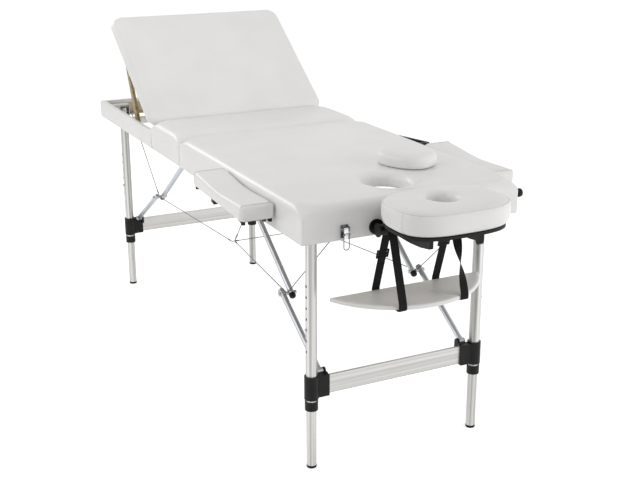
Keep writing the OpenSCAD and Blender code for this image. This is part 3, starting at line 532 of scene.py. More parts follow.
# %% [markdown]
# The front section is one long cushion, glued to its board and pulled down over the rails, so no seam
# shows between top and side. Its profile runs up the rail, over a soft edge, across the crowned top,
# over the rolled lip of the face hole, down the hole, and back under the foam. A cut cube with a
# boolean hole would leave a hard lip. One closed loop carried round the outline keeps it soft.

# %% Front section, side
HALF_W = 340.0
HALF_L = 930.0
FOLD_GAP = 1.0
PANEL_Z = 700.0
RAIL_TOP = 760.0
DECK_TOP = 768.0
CUSHION_TOP = 800.0
EDGE_R = 26.0
EDGE_DROP = 28.0
EDGE_N = 11
RAIL_CORNER = 5.0
TOP_CORNER = 54.0
CORNER_FULL_Z = CUSHION_TOP - 4
CLEAR = 0.1  # keeps a cover off the board that it lies on
HEM = 0.2
RAIL_ROWS = [(0.6, PANEL_Z + HEM), (0.0, PANEL_Z + 4), (0.0, 720.0), (0.0, 740.0), (0.0, RAIL_TOP),
             (0.0, RAIL_TOP + 6)]

front_hy = (HALF_L - FOLD_GAP) / 2
front_y = -FOLD_GAP - front_hy
side_in, side_z = over_edge(RAIL_ROWS, CUSHION_TOP, EDGE_R, EDGE_DROP, EDGE_N)
side_corner = RAIL_CORNER + (TOP_CORNER - RAIL_CORNER) * smooth(side_z, DECK_TOP, CORNER_FULL_Z)
front_side = lift(rounded(HALF_W - side_in, front_hy - side_in, side_corner), side_z[:, None])
print("front section of", 2 * HALF_W, "by", 2 * front_hy, "mm")

# %% Front section, top and face hole
CROWN = 3.0
TOP_N = 18
HOLE = np.array([66.0, 80.0])
HOLE_END = 158.0
LINING = 1.0
HOLE_LIP = np.array([(36.0, 0.0), (27.0, 0.0), (20.0, 0.7), (14.0, 2.3), (9.0, 5.0), (5.0, 8.8),
                     (2.0, 13.5), (0.4, 19.0)])
HOLE_LINING = np.array([(-LINING, DECK_TOP), (-LINING, RAIL_TOP - 1), (-CLEAR, RAIL_TOP - 1),
                        (-CLEAR, DECK_TOP + CLEAR)])

hole_at = np.array([0.0, -HALF_L + HOLE_END - front_y])
front_flat = (HALF_W - EDGE_R, front_hy - EDGE_R)
front_rim = rounded(*front_flat, TOP_CORNER)
around_hole = (front_rim - hole_at) / HOLE
facing = np.arctan2(around_hole[:, 1], around_hole[:, 0])


def hole_ring(out):
    """The hole's oval, grown outwards, with each point facing its own point of the rim."""
    return hole_at + oval(HOLE[0] + out, HOLE[1] + out, ROUND, facing)


flat = between(front_rim, hole_ring(HOLE_LIP[0, 0]), np.linspace(0, 1, TOP_N)[1:-1])
front_top = lift(flat, CUSHION_TOP + crowned(flat, *front_flat, CROWN))
lip_z = CUSHION_TOP + crowned(hole_at, *front_flat, CROWN)
front_lip = lift(hole_ring(HOLE_LIP[:, 0]), lip_z - HOLE_LIP[:, 1:])
front_lining = lift(hole_ring(HOLE_LINING[:, 0]), HOLE_LINING[:, 1:])
print("face hole of", 2 * HOLE, "mm at", hole_at + (0.0, front_y))

# %% Front section, cover
COVER_T = 1.9
FRONT_SOFT = (772.0, 792.0)  # heights between which the foam begins to swell
SIDE_SWELL = 0.9

inside = rounded(HALF_W - COVER_T, front_hy - COVER_T, RAIL_CORNER - COVER_T)
front_inside = np.stack([lift(inside, DECK_TOP + CLEAR), lift(inside, PANEL_Z + HEM)])
front_grid = np.concatenate([front_side, front_top, front_lip, front_lining, front_inside])
front_soft = smooth(front_grid[..., 2], *FRONT_SOFT)
front_grid[..., 2] += front_soft * swell(front_grid, size=300.0, amount=0.9, seed=1)
sideways = front_soft * swell(front_grid, size=190.0, amount=1.0, seed=2)
front_grid[..., :2] *= 1 + (SIDE_SWELL / HALF_W) * sideways[..., None]
front_grid[..., 1] += front_y
pad("front_upholstery", [shell(front_grid, along=True)], "front_half", "front_cushion", "front_cover",
    fill=0.85)

# %% [markdown]
# The seat section is the same kind of cushion, but short, and its foot edge ends above the backrest
# hinge. It could be a shortened copy of the front section, but there the cover must stop at the deck.
# So its lower rows are pushed up and tucked in along that edge.

# %% Seat section
SEAT_END = 297.0
SEAT_CROWN = 6.0
SEAT_N = 14
TUCK = 4.0
TUCK_FROM, TUCK_FULL = 14.0, 2.0  # distances from the foot edge
TUCK_Z = (770.0, 786.0)
SEAT_LOW = DECK_TOP + 0.5
LOW_SLOPE = 0.02
SEAT_SOFT = (774.0, 792.0)

seat_hy = (SEAT_END - FOLD_GAP) / 2
seat_y = FOLD_GAP + seat_hy
seat_flat = (HALF_W - EDGE_R, seat_hy - EDGE_R)
ring = rounded(HALF_W - side_in, seat_hy - side_in, side_corner)
behind = smooth(ring[..., 1], seat_hy - TUCK_FROM, seat_hy - TUCK_FULL)
row_z = side_z[:, None]
low = np.maximum(row_z, PANEL_Z + (SEAT_LOW + LOW_SLOPE * (row_z - PANEL_Z) - PANEL_Z) * behind)
ring[..., 1] -= TUCK * behind * (1 - smooth(low, *TUCK_Z))
seat_rim = rounded(*seat_flat, TOP_CORNER)
flat = between(seat_rim, middle(seat_rim, *seat_flat), np.linspace(0, 1, SEAT_N)[1:])
seat_top = lift(flat, CUSHION_TOP + crowned(flat, *seat_flat, SEAT_CROWN))

under = rounded(HALF_W - COVER_T, seat_hy - COVER_T, RAIL_CORNER - COVER_T)
under_behind = smooth(under[:, 1], seat_hy - TUCK_FROM, seat_hy - TUCK_FULL)
under[:, 1] -= TUCK * under_behind
seat_under = lift(between(under, middle(under, HALF_W, seat_hy), (1.0, 0.5, 0.0)), DECK_TOP + CLEAR)
seat_hem = lift(under, PANEL_Z + HEM + (DECK_TOP + HEM - PANEL_Z) * under_behind)
seat_grid = np.concatenate([seat_under, seat_hem[None], lift(ring, low), seat_top])
seat_soft = smooth(seat_grid[..., 2], *SEAT_SOFT)
seat_grid[..., 2] += seat_soft * swell(seat_grid, size=300.0, amount=0.9, seed=3)
seat_grid[..., 1] += seat_y
print("seat section of", 2 * HALF_W, "by", 2 * seat_hy, "mm")

# %% [markdown]
# Behind the seat the rails are only wrapped: leather goes up the outside, over the top edge and a
# little way down inside. Solidify on a copy of the rails would do it, but without the rounded top edge.
# A thin profile is carried round three sides instead, with each corner mitred.

# %% Wrapped rear rails
BAND = [(0.0, 0.4), (0.0, 30.0), (0.0, 57.0), (0.8, 60.8), (3.0, 62.0), (15.0, 62.0), (17.6, 61.2),
        (18.4, 59.0), (18.4, 50.0), (18.05, 50.0), (18.05, 60.05), (2.0, 60.05), (2.0, 30.0), (2.0, 0.4)]
BAND_X = HALF_W - 0.05
BAND_Y = (SEAT_END - 7, 500.0, 700.0, HALF_L)
BAND_SHARP = 50

band_path = [(BAND_X, y) for y in BAND_Y] + [(0.0, HALF_L)]
band_path += [(-x, y) for x, y in band_path[-2::-1]]
inward = [(-1, 0), (-1, 0), (-1, 0), (-1, -1), (0, -1), (1, -1), (1, 0), (1, 0), (1, 0)]
band_grid = np.stack([[(x + i * u, y + i * v, PANEL_Z + h) for i, h in BAND]
                      for (x, y), (u, v) in zip(band_path, inward)])
cap = band_grid[[0, -1]].mean(axis=1, keepdims=True)
band_grid = np.concatenate([np.broadcast_to(cap[:1], band_grid[:1].shape), band_grid,
                            np.broadcast_to(cap[1:], band_grid[:1].shape)])
pad("seat_upholstery", [shell(seat_grid), shell(band_grid)], "rear_half", "seat_cushion", "rear_cover",
    fill=0.85, sharp=BAND_SHARP)

# %% [markdown]
# The backrest is a board with a thinner cushion, its leather pulled round the board's edge. It could be
# modelled in its raised place. Lying flat, with the hinge at zero, its rows are level and easy to give,
# and one turn about the hinge puts it up.

# %% Backrest
BACK_Y = 300.0
BACK_Z = 766.0
BACK_ANGLE = np.radians(36.0)
BACK_START = 7.0
BACK_END = 552.0
BACK_LOW = 1.4
BACK_TOP = 34.0
BACK_EDGE = 22.0
BACK_CORNER = 46.0
BACK_CROWN = 4.5
BACK_N = 16
BACK_HEM = 20.0  # how far the leather goes in under the board
BOARD_FACE = 9.9
BACK_SOFT = (16.0, 30.0)
BACK_ROWS = [(BACK_HEM, BACK_LOW - CLEAR), (3.0, BACK_LOW), (0.6, BACK_LOW + 1.5), (0.0, 5.0), (0.0, 9.0)]


def raise_back(points):
    """Turns flat backrest points up about the hinge line."""
    y, z = points[..., 1], points[..., 2]
    c, s = np.cos(BACK_ANGLE), np.sin(BACK_ANGLE)
    return np.stack([points[..., 0], BACK_Y + y * c - z * s, BACK_Z + y * s + z * c], axis=-1)


back_hy = (BACK_END - BACK_START) / 2
back_flat = (HALF_W - BACK_EDGE, back_hy - BACK_EDGE)
back_in, back_z = over_edge(BACK_ROWS, BACK_TOP, BACK_EDGE, BACK_EDGE, EDGE_N)
back_side = lift(rounded(HALF_W - back_in, back_hy - back_in, BACK_CORNER - back_in), back_z[:, None])
back_rim = rounded(*back_flat, BACK_CORNER - BACK_EDGE)
flat = between(back_rim, middle(back_rim, *back_flat), np.linspace(0, 1, BACK_N)[1:])
back_top = lift(flat, BACK_TOP + crowned(flat, *back_flat, BACK_CROWN))
base = rounded(HALF_W - BACK_HEM, back_hy - BACK_HEM, BACK_CORNER - BACK_HEM)
back_base = lift(between(base, middle(base, HALF_W, back_hy), (1.0, 0.5, 0.0)), BOARD_FACE)
back_grid = np.concatenate([back_base, back_side, back_top])
back_soft = smooth(back_grid[..., 2], *BACK_SOFT)
back_grid[..., 2] += back_soft * swell(back_grid, size=320.0, amount=1.0, seed=4)
back_grid[..., 1] += BACK_START + back_hy
pad("backrest_upholstery", [shell(raise_back(back_grid))], "backrest", "backrest_cushion", fill=0.8)

# %% [markdown]
# The armrests are foam blocks on small boards, their covers sewn to a box shape. The top dips a little
# along its length, where a forearm lies. A sculpted cube would do. Rows and a cosine give both pads the
# same dip.

# %% Armrest pads
ARM_IN = 345.0
ARM_W = 96.0
ARM_Y0 = -770.0
ARM_L = 360.0
ARM_H = 44.0
ARM_BOARD_Z = 729.0
ARM_BOARD_T = 4.0
ARM_TILT = np.radians(2.5)
ARM_EDGE = 11.0
ARM_EDGE_N = 8
ARM_CORNER = 9.0
CORNER_SHRINK = 0.4
ARM_CROWN = 0.7 * CROWN
ARM_BULGE = 0.3
ARM_N = 8
ARM_DIP = 9.0
DIP_Z = (12.0, ARM_H - 4)
ARM_SOFT = (20.0, 38.0)
ARM_ROWS = [(4.0, CLEAR), (1.0, 1.6), (0.1, 6.0), (-0.5, 16.0), (-0.5, 26.0)]


def arm_dip(points):
    """How far the top sinks along the length: a cosine squared, fading out down the sides."""
    along = np.cos(np.pi * np.clip(points[..., 1] / ARM_L, -0.5, 0.5)) ** 2
    return ARM_DIP * along * smooth(points[..., 2], *DIP_Z)


arm_hx, arm_hy = ARM_W / 2, ARM_L / 2
arm_flat = (arm_hx - ARM_EDGE, arm_hy - ARM_EDGE)
arm_in, arm_z = over_edge(ARM_ROWS, ARM_H, ARM_EDGE, ARM_EDGE, ARM_EDGE_N, ARM_BULGE)
arm_corner = ARM_CORNER - CORNER_SHRINK * np.maximum(arm_in, 0)
arm_side = lift(rounded(arm_hx - arm_in, arm_hy - arm_in, arm_corner), arm_z[:, None])
arm_rim = arm_side[-1, :, :2]
flat = between(arm_rim, middle(arm_rim, *arm_flat), np.linspace(0, 1, ARM_N)[1:])
arm_top = lift(flat, ARM_H + crowned(flat, *arm_flat, ARM_CROWN))
arm_foot = arm_side[0, :, :2]
arm_base = lift(between(arm_foot, middle(arm_foot, arm_hx, arm_hy), (1.0, 0.5)), CLEAR)
arm_grid = np.concatenate([arm_base, arm_side, arm_top])
arm_soft = smooth(arm_grid[..., 2], *ARM_SOFT)
arm_grid[..., 2] += arm_soft * swell(arm_grid, size=130.0, amount=0.6, seed=5) - arm_dip(arm_grid)
print("armrest pad of", ARM_W, "by", ARM_L, "mm")

# %% [markdown]
# A thin welt runs round each end panel of an armrest, where the leather pieces are sewn together. A
# curve with a round bevel would do, and so does a round profile carried along a path, which the cables
# and piping use too.

# %% Armrest welts
WELT_R = 1.1
WELT_OUT = 0.3
WELT_UP = 0.4
STILL = 1e-6  # a direction that changes less than this along a path is taken as fixed


def tube(path, radius, count=10, closed=False):
    """A round profile carried along a path. Two directions across it come from its tangent and a helper,
    which is an axis that the path doesn't turn about."""
    path = np.asarray(path, dtype=float)
    tangent = np.roll(path, -1, axis=0) - np.roll(path, 1, axis=0) if closed else np.gradient(path, axis=0)
    tangent /= np.linalg.norm(tangent, axis=1, keepdims=True)
    helper = np.where(np.ptp(tangent[:, 0]) < STILL, (1.0, 0.0, 0.0), (0.0, 0.0, 1.0))
    helper = np.where(np.ptp(tangent[:, 1]) < STILL, (0.0, 1.0, 0.0), helper)
    side = np.cross(tangent, helper)
    side /= np.linalg.norm(side, axis=1, keepdims=True)
    up = np.cross(side, tangent)
    a = np.linspace(0, 2 * np.pi, count, endpoint=False)[None, :, None]
    radius = np.broadcast_to(radius, len(path))[:, None, None]
    grid = path[:, None, :] + radius * (np.cos(a) * side[:, None] + np.sin(a) * up[:, None])
    if not closed:
        grid = np.concatenate([np.repeat(path[:1, None], count, axis=1), grid,
                               np.repeat(path[-1:, None], count, axis=1)])
    return shell(grid, along=closed)


def on_arm_board(points):
    """Sets pad points on their board, which is turned up a little about its front lower edge."""
    y, z = points[..., 1] + arm_hy, points[..., 2] + ARM_BOARD_T
    c, s = np.cos(ARM_TILT), np.sin(ARM_TILT)
    x = points[..., 0] + ARM_IN + arm_hx
    return np.stack([x, ARM_Y0 + y * c - z * s, ARM_BOARD_Z + y * s + z * c], axis=-1)


welt_line = rounded(arm_hx + WELT_OUT, ARM_H / 2, ARM_EDGE)
welts = [np.stack([welt_line[:, 0], np.full(len(welt_line), end * (arm_hy - ARM_CORNER)),
                   welt_line[:, 1] + ARM_H / 2 + WELT_UP], axis=-1) for end in (-1, 1)]
for side, sign in (("l", -1.0), ("r", 1.0)):
    mirror = np.array([sign, 1.0, 1.0])
    pad(f"armrest_upholstery_{side}", [shell(on_arm_board(arm_grid) * mirror)], f"armrest_{side}",
        f"armrest_pad_{side}", fill=0.75)
    rings = [tube(on_arm_board(welt) * mirror, WELT_R, closed=True) for welt in welts]
    arm_welts = piece(f"armrest_welts_{side}", rings, piping_leather, f"armrest_{side}")

# %% [markdown]
# The head cradle's cushion is a fat ring for the face. A boxed side strip is sewn between a flat top
# and the base, with a piped seam along the top edge and upright seams in the side. A torus could be
# squashed to it. A closed profile carried round a squarish oval keeps the flat top, and the seams are
# shallow grooves pressed into it. Between the two outlines the rows are a plain blend of them, so that
# no row can cross another.

# %% Head cradle cushion
CRADLE_Y = -1077.0
CRADLE_LOW = 758.0
CRADLE_H = 67.0
CRADLE_HALF = np.array([163.0, 117.0])
CRADLE_POWER = 3.0
CRADLE_HOLE = np.array([40.0, 46.0])
CRADLE_HOLE_AT = np.array([0.0, 18.0])
RING_N = 360
CRADLE_SOFT = (50.0, 64.0)
CRADLE_OUT = np.array([(22.0, 0.0), (13.0, 0.8), (7.5, 3.6), (3.4, 8.8), (1.0, 15.6), (-0.6, 25.0),
                       (-1.2, 34.0), (-0.8, 46.0), (0.2, 53.0), (1.6, 57.5), (3.6, 60.4), (6.4, 62.8),
                       (10.0, 64.6), (15.0, 65.8), (22.0, 66.6)])
CRADLE_IN = np.array([(14.0, 66.6), (9.0, 65.6), (5.4, 63.4), (2.6, 59.8), (0.8, 54.0), (0.0, 44.0),
                      (0.4, 24.0), (2.0, 8.0), (5.0, 0.0)])

turns = np.linspace(0, 2 * np.pi, RING_N, endpoint=False)


def grown(half, out, power):
    """Ovals of the given half sizes, each grown outwards by a distance."""
    return oval(half[0] + out, half[1] + out, power, turns)


outer = grown(CRADLE_HALF, -CRADLE_OUT[:, 0], CRADLE_POWER)
inner = CRADLE_HOLE_AT + grown(CRADLE_HOLE, CRADLE_IN[:, 0], ROUND)
cradle_grid = np.concatenate([lift(outer, CRADLE_OUT[:, 1:]),
                              lift(between(outer[-1], inner[0], (0.25, 0.5, 0.75)), CRADLE_H),
                              lift(inner, CRADLE_IN[:, 1:])])
print("cradle cushion of", 2 * CRADLE_HALF, "mm,", CRADLE_H, "mm thick")

# %% Cradle seams and piping
SEAM_TURNS = np.radians([196.0, 344.0, 90.0])
SEAM_DEEP = 2.6
SEAM_WIDE = 2.6
SEAM_ROWS = slice(2, 9)
PIPE_R = 1.7
PIPE_IN, PIPE_UP = 2.6, 59.6

mean_half = CRADLE_HALF.mean()
for seam in SEAM_TURNS:
    apart = np.abs((turns - seam + np.pi) % (2 * np.pi) - np.pi) * mean_half
    groove = SEAM_DEEP * np.exp(-(apart / SEAM_WIDE) ** 2)
    cradle_grid[SEAM_ROWS, :, :2] *= 1 - (groove / mean_half)[None, :, None]
cradle_soft = smooth(cradle_grid[..., 2], *CRADLE_SOFT)
cradle_grid[..., 2] += cradle_soft * swell(cradle_grid, size=120.0, amount=0.8, seed=6)
cradle_grid += (0.0, CRADLE_Y, CRADLE_LOW + CLEAR)
pad("cradle_upholstery", [shell(cradle_grid, along=True)], "cradle_head", "cradle_cushion", fill=0.9)
pipe_path = lift(grown(CRADLE_HALF, -PIPE_IN, CRADLE_POWER), PIPE_UP) + (0.0, CRADLE_Y, CRADLE_LOW)
pipe = tube(pipe_path, PIPE_R, closed=True)
cradle_piping = piece("cradle_piping", [pipe], piping_leather, "cradle_head")

# %% [markdown]
# The plug for the face hole lies loose on the top: an oval cushion with a thick soft edge. A subdivided
# cylinder would give the shape roughly. Rows of ovals give its edge exactly, and shrink to one point at
# the top and below.

# %% Plug cushion
PLUG_AT = (140.0, -648.0)
PLUG_TURN = np.radians(27.0)
PLUG_HALF = np.array([72.0, 87.0])
PLUG_POWER = 2.5
PLUG_TOP = 43.5
PLUG_LOW = CUSHION_TOP + 0.75 * CROWN + 0.6  # just clear of the crowned top
PLUG_OUT = np.array([(60.0, 0.0), (34.0, 0.0), (11.0, 0.2), (5.0, 1.6), (1.8, 5.0), (0.4, 10.0),
                     (0.0, 17.0), (0.4, 25.0), (2.0, 31.0), (5.0, 35.5), (9.5, 38.6), (16.0, 40.8),
                     (26.0, 42.2), (40.0, 43.0), (60.0, 43.4)])

point = np.zeros((1, RING_N, 2))
plug_grid = np.concatenate([lift(point, 0.0),
                            lift(grown(PLUG_HALF, -PLUG_OUT[:, 0], PLUG_POWER), PLUG_OUT[:, 1:]),
                            lift(point, PLUG_TOP)])
c, s = np.cos(PLUG_TURN), np.sin(PLUG_TURN)
plug_grid[..., :2] = plug_grid[..., :2] @ np.array([[c, s], [-s, c]])
plug_grid += (*PLUG_AT, PLUG_LOW)
pad("plug_upholstery", [shell(plug_grid)], "plug", "plug_cushion", fill=0.85)

# %% [markdown]
# The arm shelf is a half-round board with a thin layer of foam, wrapped in the same leather. An
# extruded curve would have a hard rim. Here its outline, an arc and a straight back, is drawn in
# towards a middle point row by row.

# %% Shelf
SHELF_Z = 516.0
SHELF_HX = 240.0
SHELF_L = 157.0
SHELF_BACK = -893.0
SHELF_FRONT = SHELF_BACK - SHELF_L
SHELF_R = (SHELF_HX ** 2 + SHELF_L ** 2) / (2 * SHELF_L)  # an arc through both ends and the front
ARC_N, BACK_EDGE_N = 120, 60
SHELF_MIDDLE = np.array([0.0, SHELF_BACK - 70.0])
SHELF_ROWS = np.array([(1.0, 0.2), (0.6, 0.0), (0.02, 0.0), (0.008, 0.6), (0.0, 2.6), (0.0, 6.0),
                       (0.0, 9.0), (0.012, 11.4), (0.03, 12.3), (0.07, 12.8), (0.2, 13.2), (0.6, 13.5),
                       (1.0, 13.6)])  # way to the middle, and height

half_turn = np.arcsin(SHELF_HX / SHELF_R)
front_turns = np.linspace(-half_turn, half_turn, ARC_N)
front_arc = SHELF_FRONT + SHELF_R * (1 - np.cos(front_turns))
shelf_front = np.stack([SHELF_R * np.sin(front_turns), front_arc], axis=-1)
back_x = np.linspace(SHELF_HX, -SHELF_HX, BACK_EDGE_N)[1:-1]
shelf_back = np.stack([back_x, np.full(len(back_x), SHELF_BACK)], axis=-1)
shelf_line = np.concatenate([shelf_front, shelf_back])
shelf_grid = lift(between(shelf_line, SHELF_MIDDLE, SHELF_ROWS[:, 0]), SHELF_Z + SHELF_ROWS[:, 1:])
pad("shelf_upholstery", [shell(shelf_grid)], "shelf", "shelf_board", fill=0.9)

# %% [markdown]
# The shelf hangs by two loops of nylon webbing. Each goes round the cradle's hub pin, down behind the
# board, under it and up its front. A curve with a flat bevel would twist where it likes. A strip that
# is told its side direction at each point turns over just where the real one does: once, on the front
# strand on the right.

# %% Strap path
HUB = np.array([-962.0, 724.0])
STRAP_X = 97.0
STRAP_W = 25.0
STRAP_R = 10.4
STRAP_STEP = 4.0
STRAP_OUT = 2.4
STRAP_ENDS = (-935.0, -940.0)  # where the two ends meet under the board
BEND = np.array([(6.0, -1.6), (1.0, -0.4), (0.0, 3.0), (0.0, 9.0), (1.5, 20.0)])  # in from the edge, and up
HUB_ARC = np.radians([20, 160])
HUB_ARC_N = 24
STRAIGHT_FROM = SHELF_Z + BEND[-1, 1]  # above this height a strand hangs straight
TURN_FROM, TURN_TO = -0.05, 0.95


def resample(points, step):
    """Points at even steps along a line through the given ones."""
    gaps = np.linalg.norm(np.diff(points, axis=0), axis=1)
    along = np.concatenate([[0.0], np.cumsum(gaps)])
    even = np.linspace(0, along[-1], int(along[-1] / step) + 2)
    return np.stack([np.interp(even, along, points[:, k]) for k in range(points.shape[1])], axis=-1)


shelf_sag = SHELF_R - np.sqrt(SHELF_R ** 2 - (STRAP_X - STRAP_W / 2) ** 2)
back_y = SHELF_BACK + STRAP_OUT
front_edge = SHELF_FRONT + shelf_sag - STRAP_OUT
strap_low = SHELF_Z + BEND[0, 1]
over = np.linspace(*HUB_ARC, HUB_ARC_N)
hub_arc = HUB + STRAP_R * np.stack([np.cos(over), np.sin(over)], axis=-1)
back_bend = (back_y, SHELF_Z) + BEND * (-1, 1)
front_bend = (front_edge, SHELF_Z) + BEND[::-1]
strap_line = np.concatenate([[[STRAP_ENDS[0], strap_low]], back_bend, hub_arc, front_bend,
                             [[STRAP_ENDS[1], strap_low]]])
flat_line = resample(strap_line, STRAP_STEP)
after_hub = np.arange(len(flat_line)) > np.argmax(flat_line[:, 1])
hub_low = HUB[1] - STRAP_R
turn_way = (hub_low - flat_line[:, 1]) / (hub_low - STRAIGHT_FROM)
half_turn_over = np.pi * smooth(turn_way, TURN_FROM, TURN_TO) * after_hub
print("each strap is", round(STRAP_STEP * len(flat_line)), "mm long")

# %% [markdown]
# A ladder-lock buckle sits on each rear strand, to set the length: two side bars and three rungs. It
# could be one plate with slots cut out. Five bars with softened edges need no cutting.

# %% Strap and buckle shapes
STRAP_T = 1.8
FLAT_POWER = 5
PROFILE_N = 24
BUCKLE = np.array([33.0, 26.0, 5.0])
BAR = 4.5
BAR_SOFT = 0.6
BAR_CORNER, BAR_CORNER_MIN = 1.4, 0.3
RUNG_SHARE = 0.8


def unit(vectors):
    """Vectors of length one."""
    return vectors / np.linalg.norm(vectors, axis=-1, keepdims=True)


def strip(path, side):
    """A webbing strip and its map: a flat rounded profile across each path point, along its side."""
    face = unit(np.cross(side, unit(np.gradient(path, axis=0))))
    profile_turns = np.linspace(0, 2 * np.pi, PROFILE_N, endpoint=False)
    profile = oval(STRAP_W / 2, STRAP_T / 2, FLAT_POWER, profile_turns)
    grid = path[:, None] + profile[None, :, :1] * side[:, None] + profile[None, :, 1:] * face[:, None]
    ends = [np.repeat(end[:, None], PROFILE_N, axis=1) for end in (path[:1], path[-1:])]
    along = np.arange(len(path) + 2) * STRAP_STEP
    flat_map = np.stack(np.broadcast_arrays(profile[None, :, 0], along[:, None]), axis=-1)
    return shell(np.concatenate([ends[0], grid, ends[1]])), flat_map.reshape(-1, 2)


def bar(low, high):
    """A box with softened edges, as rows of a rounded rectangle closed on its middle line."""
    half = (np.array(high) - np.array(low)) / 2
    rows = [lift(rounded(half[0] - i, half[1] - i, max(BAR_CORNER - i, BAR_CORNER_MIN)), z)
            for i, z in ((BAR_SOFT, -half[2]), (0.0, BAR_SOFT - half[2]), (0.0, half[2] - BAR_SOFT),
                         (BAR_SOFT, half[2]))]
    ends = [lift(middle(row[:, :2], half[0] - BAR_SOFT, half[1] - BAR_SOFT), row[0, 2])
            for row in (rows[0], rows[-1])]
    points, faces = shell(np.stack([ends[0]] + rows + [ends[1]]))
    return points + (np.array(high) + np.array(low)) / 2, faces


def buckle(place, down):
    """A ladder-lock: two side bars and three rungs, turned from flat to the strand's direction."""
    w, h, t = BUCKLE / 2
    rung_t = t * RUNG_SHARE
    boxes = [bar((s * w - BAR / 2, -h, -t), (s * w + BAR / 2, h, t)) for s in (-1, 1)]
    boxes += [bar((-w, y - BAR / 2, -rung_t), (w, y + BAR / 2, rung_t))
              for y in (-h + BAR / 2, 0.0, h - BAR / 2)]
    turned = np.stack([(1.0, 0.0, 0.0), down, np.cross((1.0, 0.0, 0.0), down)])
    return [(points @ turned + place, faces) for points, faces in boxes]


print("webbing of", STRAP_W, "by", STRAP_T, "mm")

# %% Straps and buckles
BUCKLE_DOWN = {"l": 0.40, "r": 0.34}  # how far down its strand each buckle sits
BUCKLE_SHARP = 40

for name, sign in (("l", -1.0), ("r", 1.0)):
    path = np.insert(flat_line, 0, sign * STRAP_X, axis=1)
    across = np.broadcast_to(np.array([1.0, 0.0, 0.0]), path.shape)
    spin = (half_turn_over * (sign > 0))[:, None]
    side = np.cos(spin) * across + np.sin(spin) * np.cross(unit(np.gradient(path, axis=0)), across)
    strap_shell, flat_map = strip(path, side)
    strap = piece(f"strap_{name}", [strap_shell], nylon_webbing, "shelf", strip_map=flat_map)
    if name == "l":
        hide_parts("shelf_straps")
    rear = path[~after_hub & (flat_line[:, 1] < hub_low) & (flat_line[:, 1] > STRAIGHT_FROM)]
    spot = int((1 - BUCKLE_DOWN[name]) * (len(rear) - 1))
    strand = unit(rear[spot + 1] - rear[spot - 1])
    bars = buckle(rear[spot], strand)
    lock = piece(f"strap_buckle_{name}", bars, black_plastic, "shelf", sharp=BUCKLE_SHARP)

# %% [markdown]
# The brace tubes end at the elbow bolt in plugs: black plastic ones on the upper tubes, and pressed
# round metal ones on the lower tubes. A sphere cut in half would be close. A profile of radii carried
# along the tube's own line also gives the collar that overlaps the tube.

# %% Brace end plugs
BRACE_R = 9.0
ELBOW = np.array([-584.88, 433.58])
ELBOW_TAIL = 12.0
LOWER_PIVOT = np.array([-825.0, 285.0])
UPPER_PIVOT = np.array([-150.0, 744.0])
LOWER_X = 238.0
UPPER_X = 210.0
PLUG_STEPS = np.array([-9.1, -9.0, -8.4, -0.2, 1.4, 4.0, 6.2, 7.6, 8.2])
PLUG_RADII = np.array([0.0, 0.5, 0.56, 0.56, 0.55, 0.5, 0.38, 0.2, 0.0]) * 2 * BRACE_R
TIP_R = 0.01
DOME_N = 24
DOME_SHARP = 60


def end_plug(x, tail, ahead, rear):
    """A domed plug on a tube end, mirrored to the rear braces if asked."""
    line = np.insert(tail + PLUG_STEPS[:, None] * ahead, 0, x, axis=1)
    line[:, 1] *= -1.0 if rear else 1.0
    return tube(line, np.maximum(PLUG_RADII, TIP_R), count=DOME_N)


up_way = unit(UPPER_PIVOT - ELBOW)
low_way = unit(ELBOW - LOWER_PIVOT)
TUBE_ENDS = (("upper", UPPER_X, -up_way, black_plastic, "black_plastic"),
             ("lower", LOWER_X, low_way, zinc_steel, "steel"))
for half in ("front", "rear"):
    for brace, x, ahead, finish, slot in TUBE_ENDS:
        ends = [end_plug(s * x, ELBOW + ELBOW_TAIL * ahead, ahead, half == "rear") for s in (-1, 1)]
        plugs = piece(f"{half}_{brace}_plugs", ends, finish, f"{half}_{brace}_braces", sharp=DOME_SHARP)

# %% [markdown]
# Steel cables keep the legs from spreading. From the elbow of each brace one runs to an eye at the end
# of the table, and one to a junction that hangs below the fold, where the cables of both halves meet.
# They are straight while the legs stand, so a thin tube along a line will do, with a crimped sleeve
# near each end. A cord simulation would have nothing to move.

# %% Cables
CABLE_R = 1.4
SLEEVE_R = 2.4
SLEEVE_AT = np.array([10.0, 24.0])
CABLE_X = (LOWER_X + UPPER_X) / 2
JUNCTION_Z = PANEL_Z - 285
EYE = np.array([CABLE_X, -HALF_L + 42, PANEL_Z + HEM])
JUNCTION = np.array([152.0, -2.0, JUNCTION_Z])
CROSS_END = np.array([162.0, -2.0, JUNCTION_Z])
REAR_END = np.array([162.0, 0.5, JUNCTION_Z])
HANGER = np.array([14.0, -2.0, PANEL_Z - 1])
ELBOW_CLEAR = 7.0
MIRROR_X = np.array([-1.0, 1.0, 1.0])
MIRROR_Y = np.array([1.0, -1.0, 1.0])


def wire(start, end, clear=0.0):
    """A straight wire that leaves its start by a clearance, and a sleeve on it near each end."""
    way = unit(end - start)
    start = start + clear * way
    sleeve = SLEEVE_AT[:, None] * way
    line = np.stack([start, end])
    return [tube(line, CABLE_R), tube(start + sleeve, SLEEVE_R), tube(end - sleeve, SLEEVE_R)]


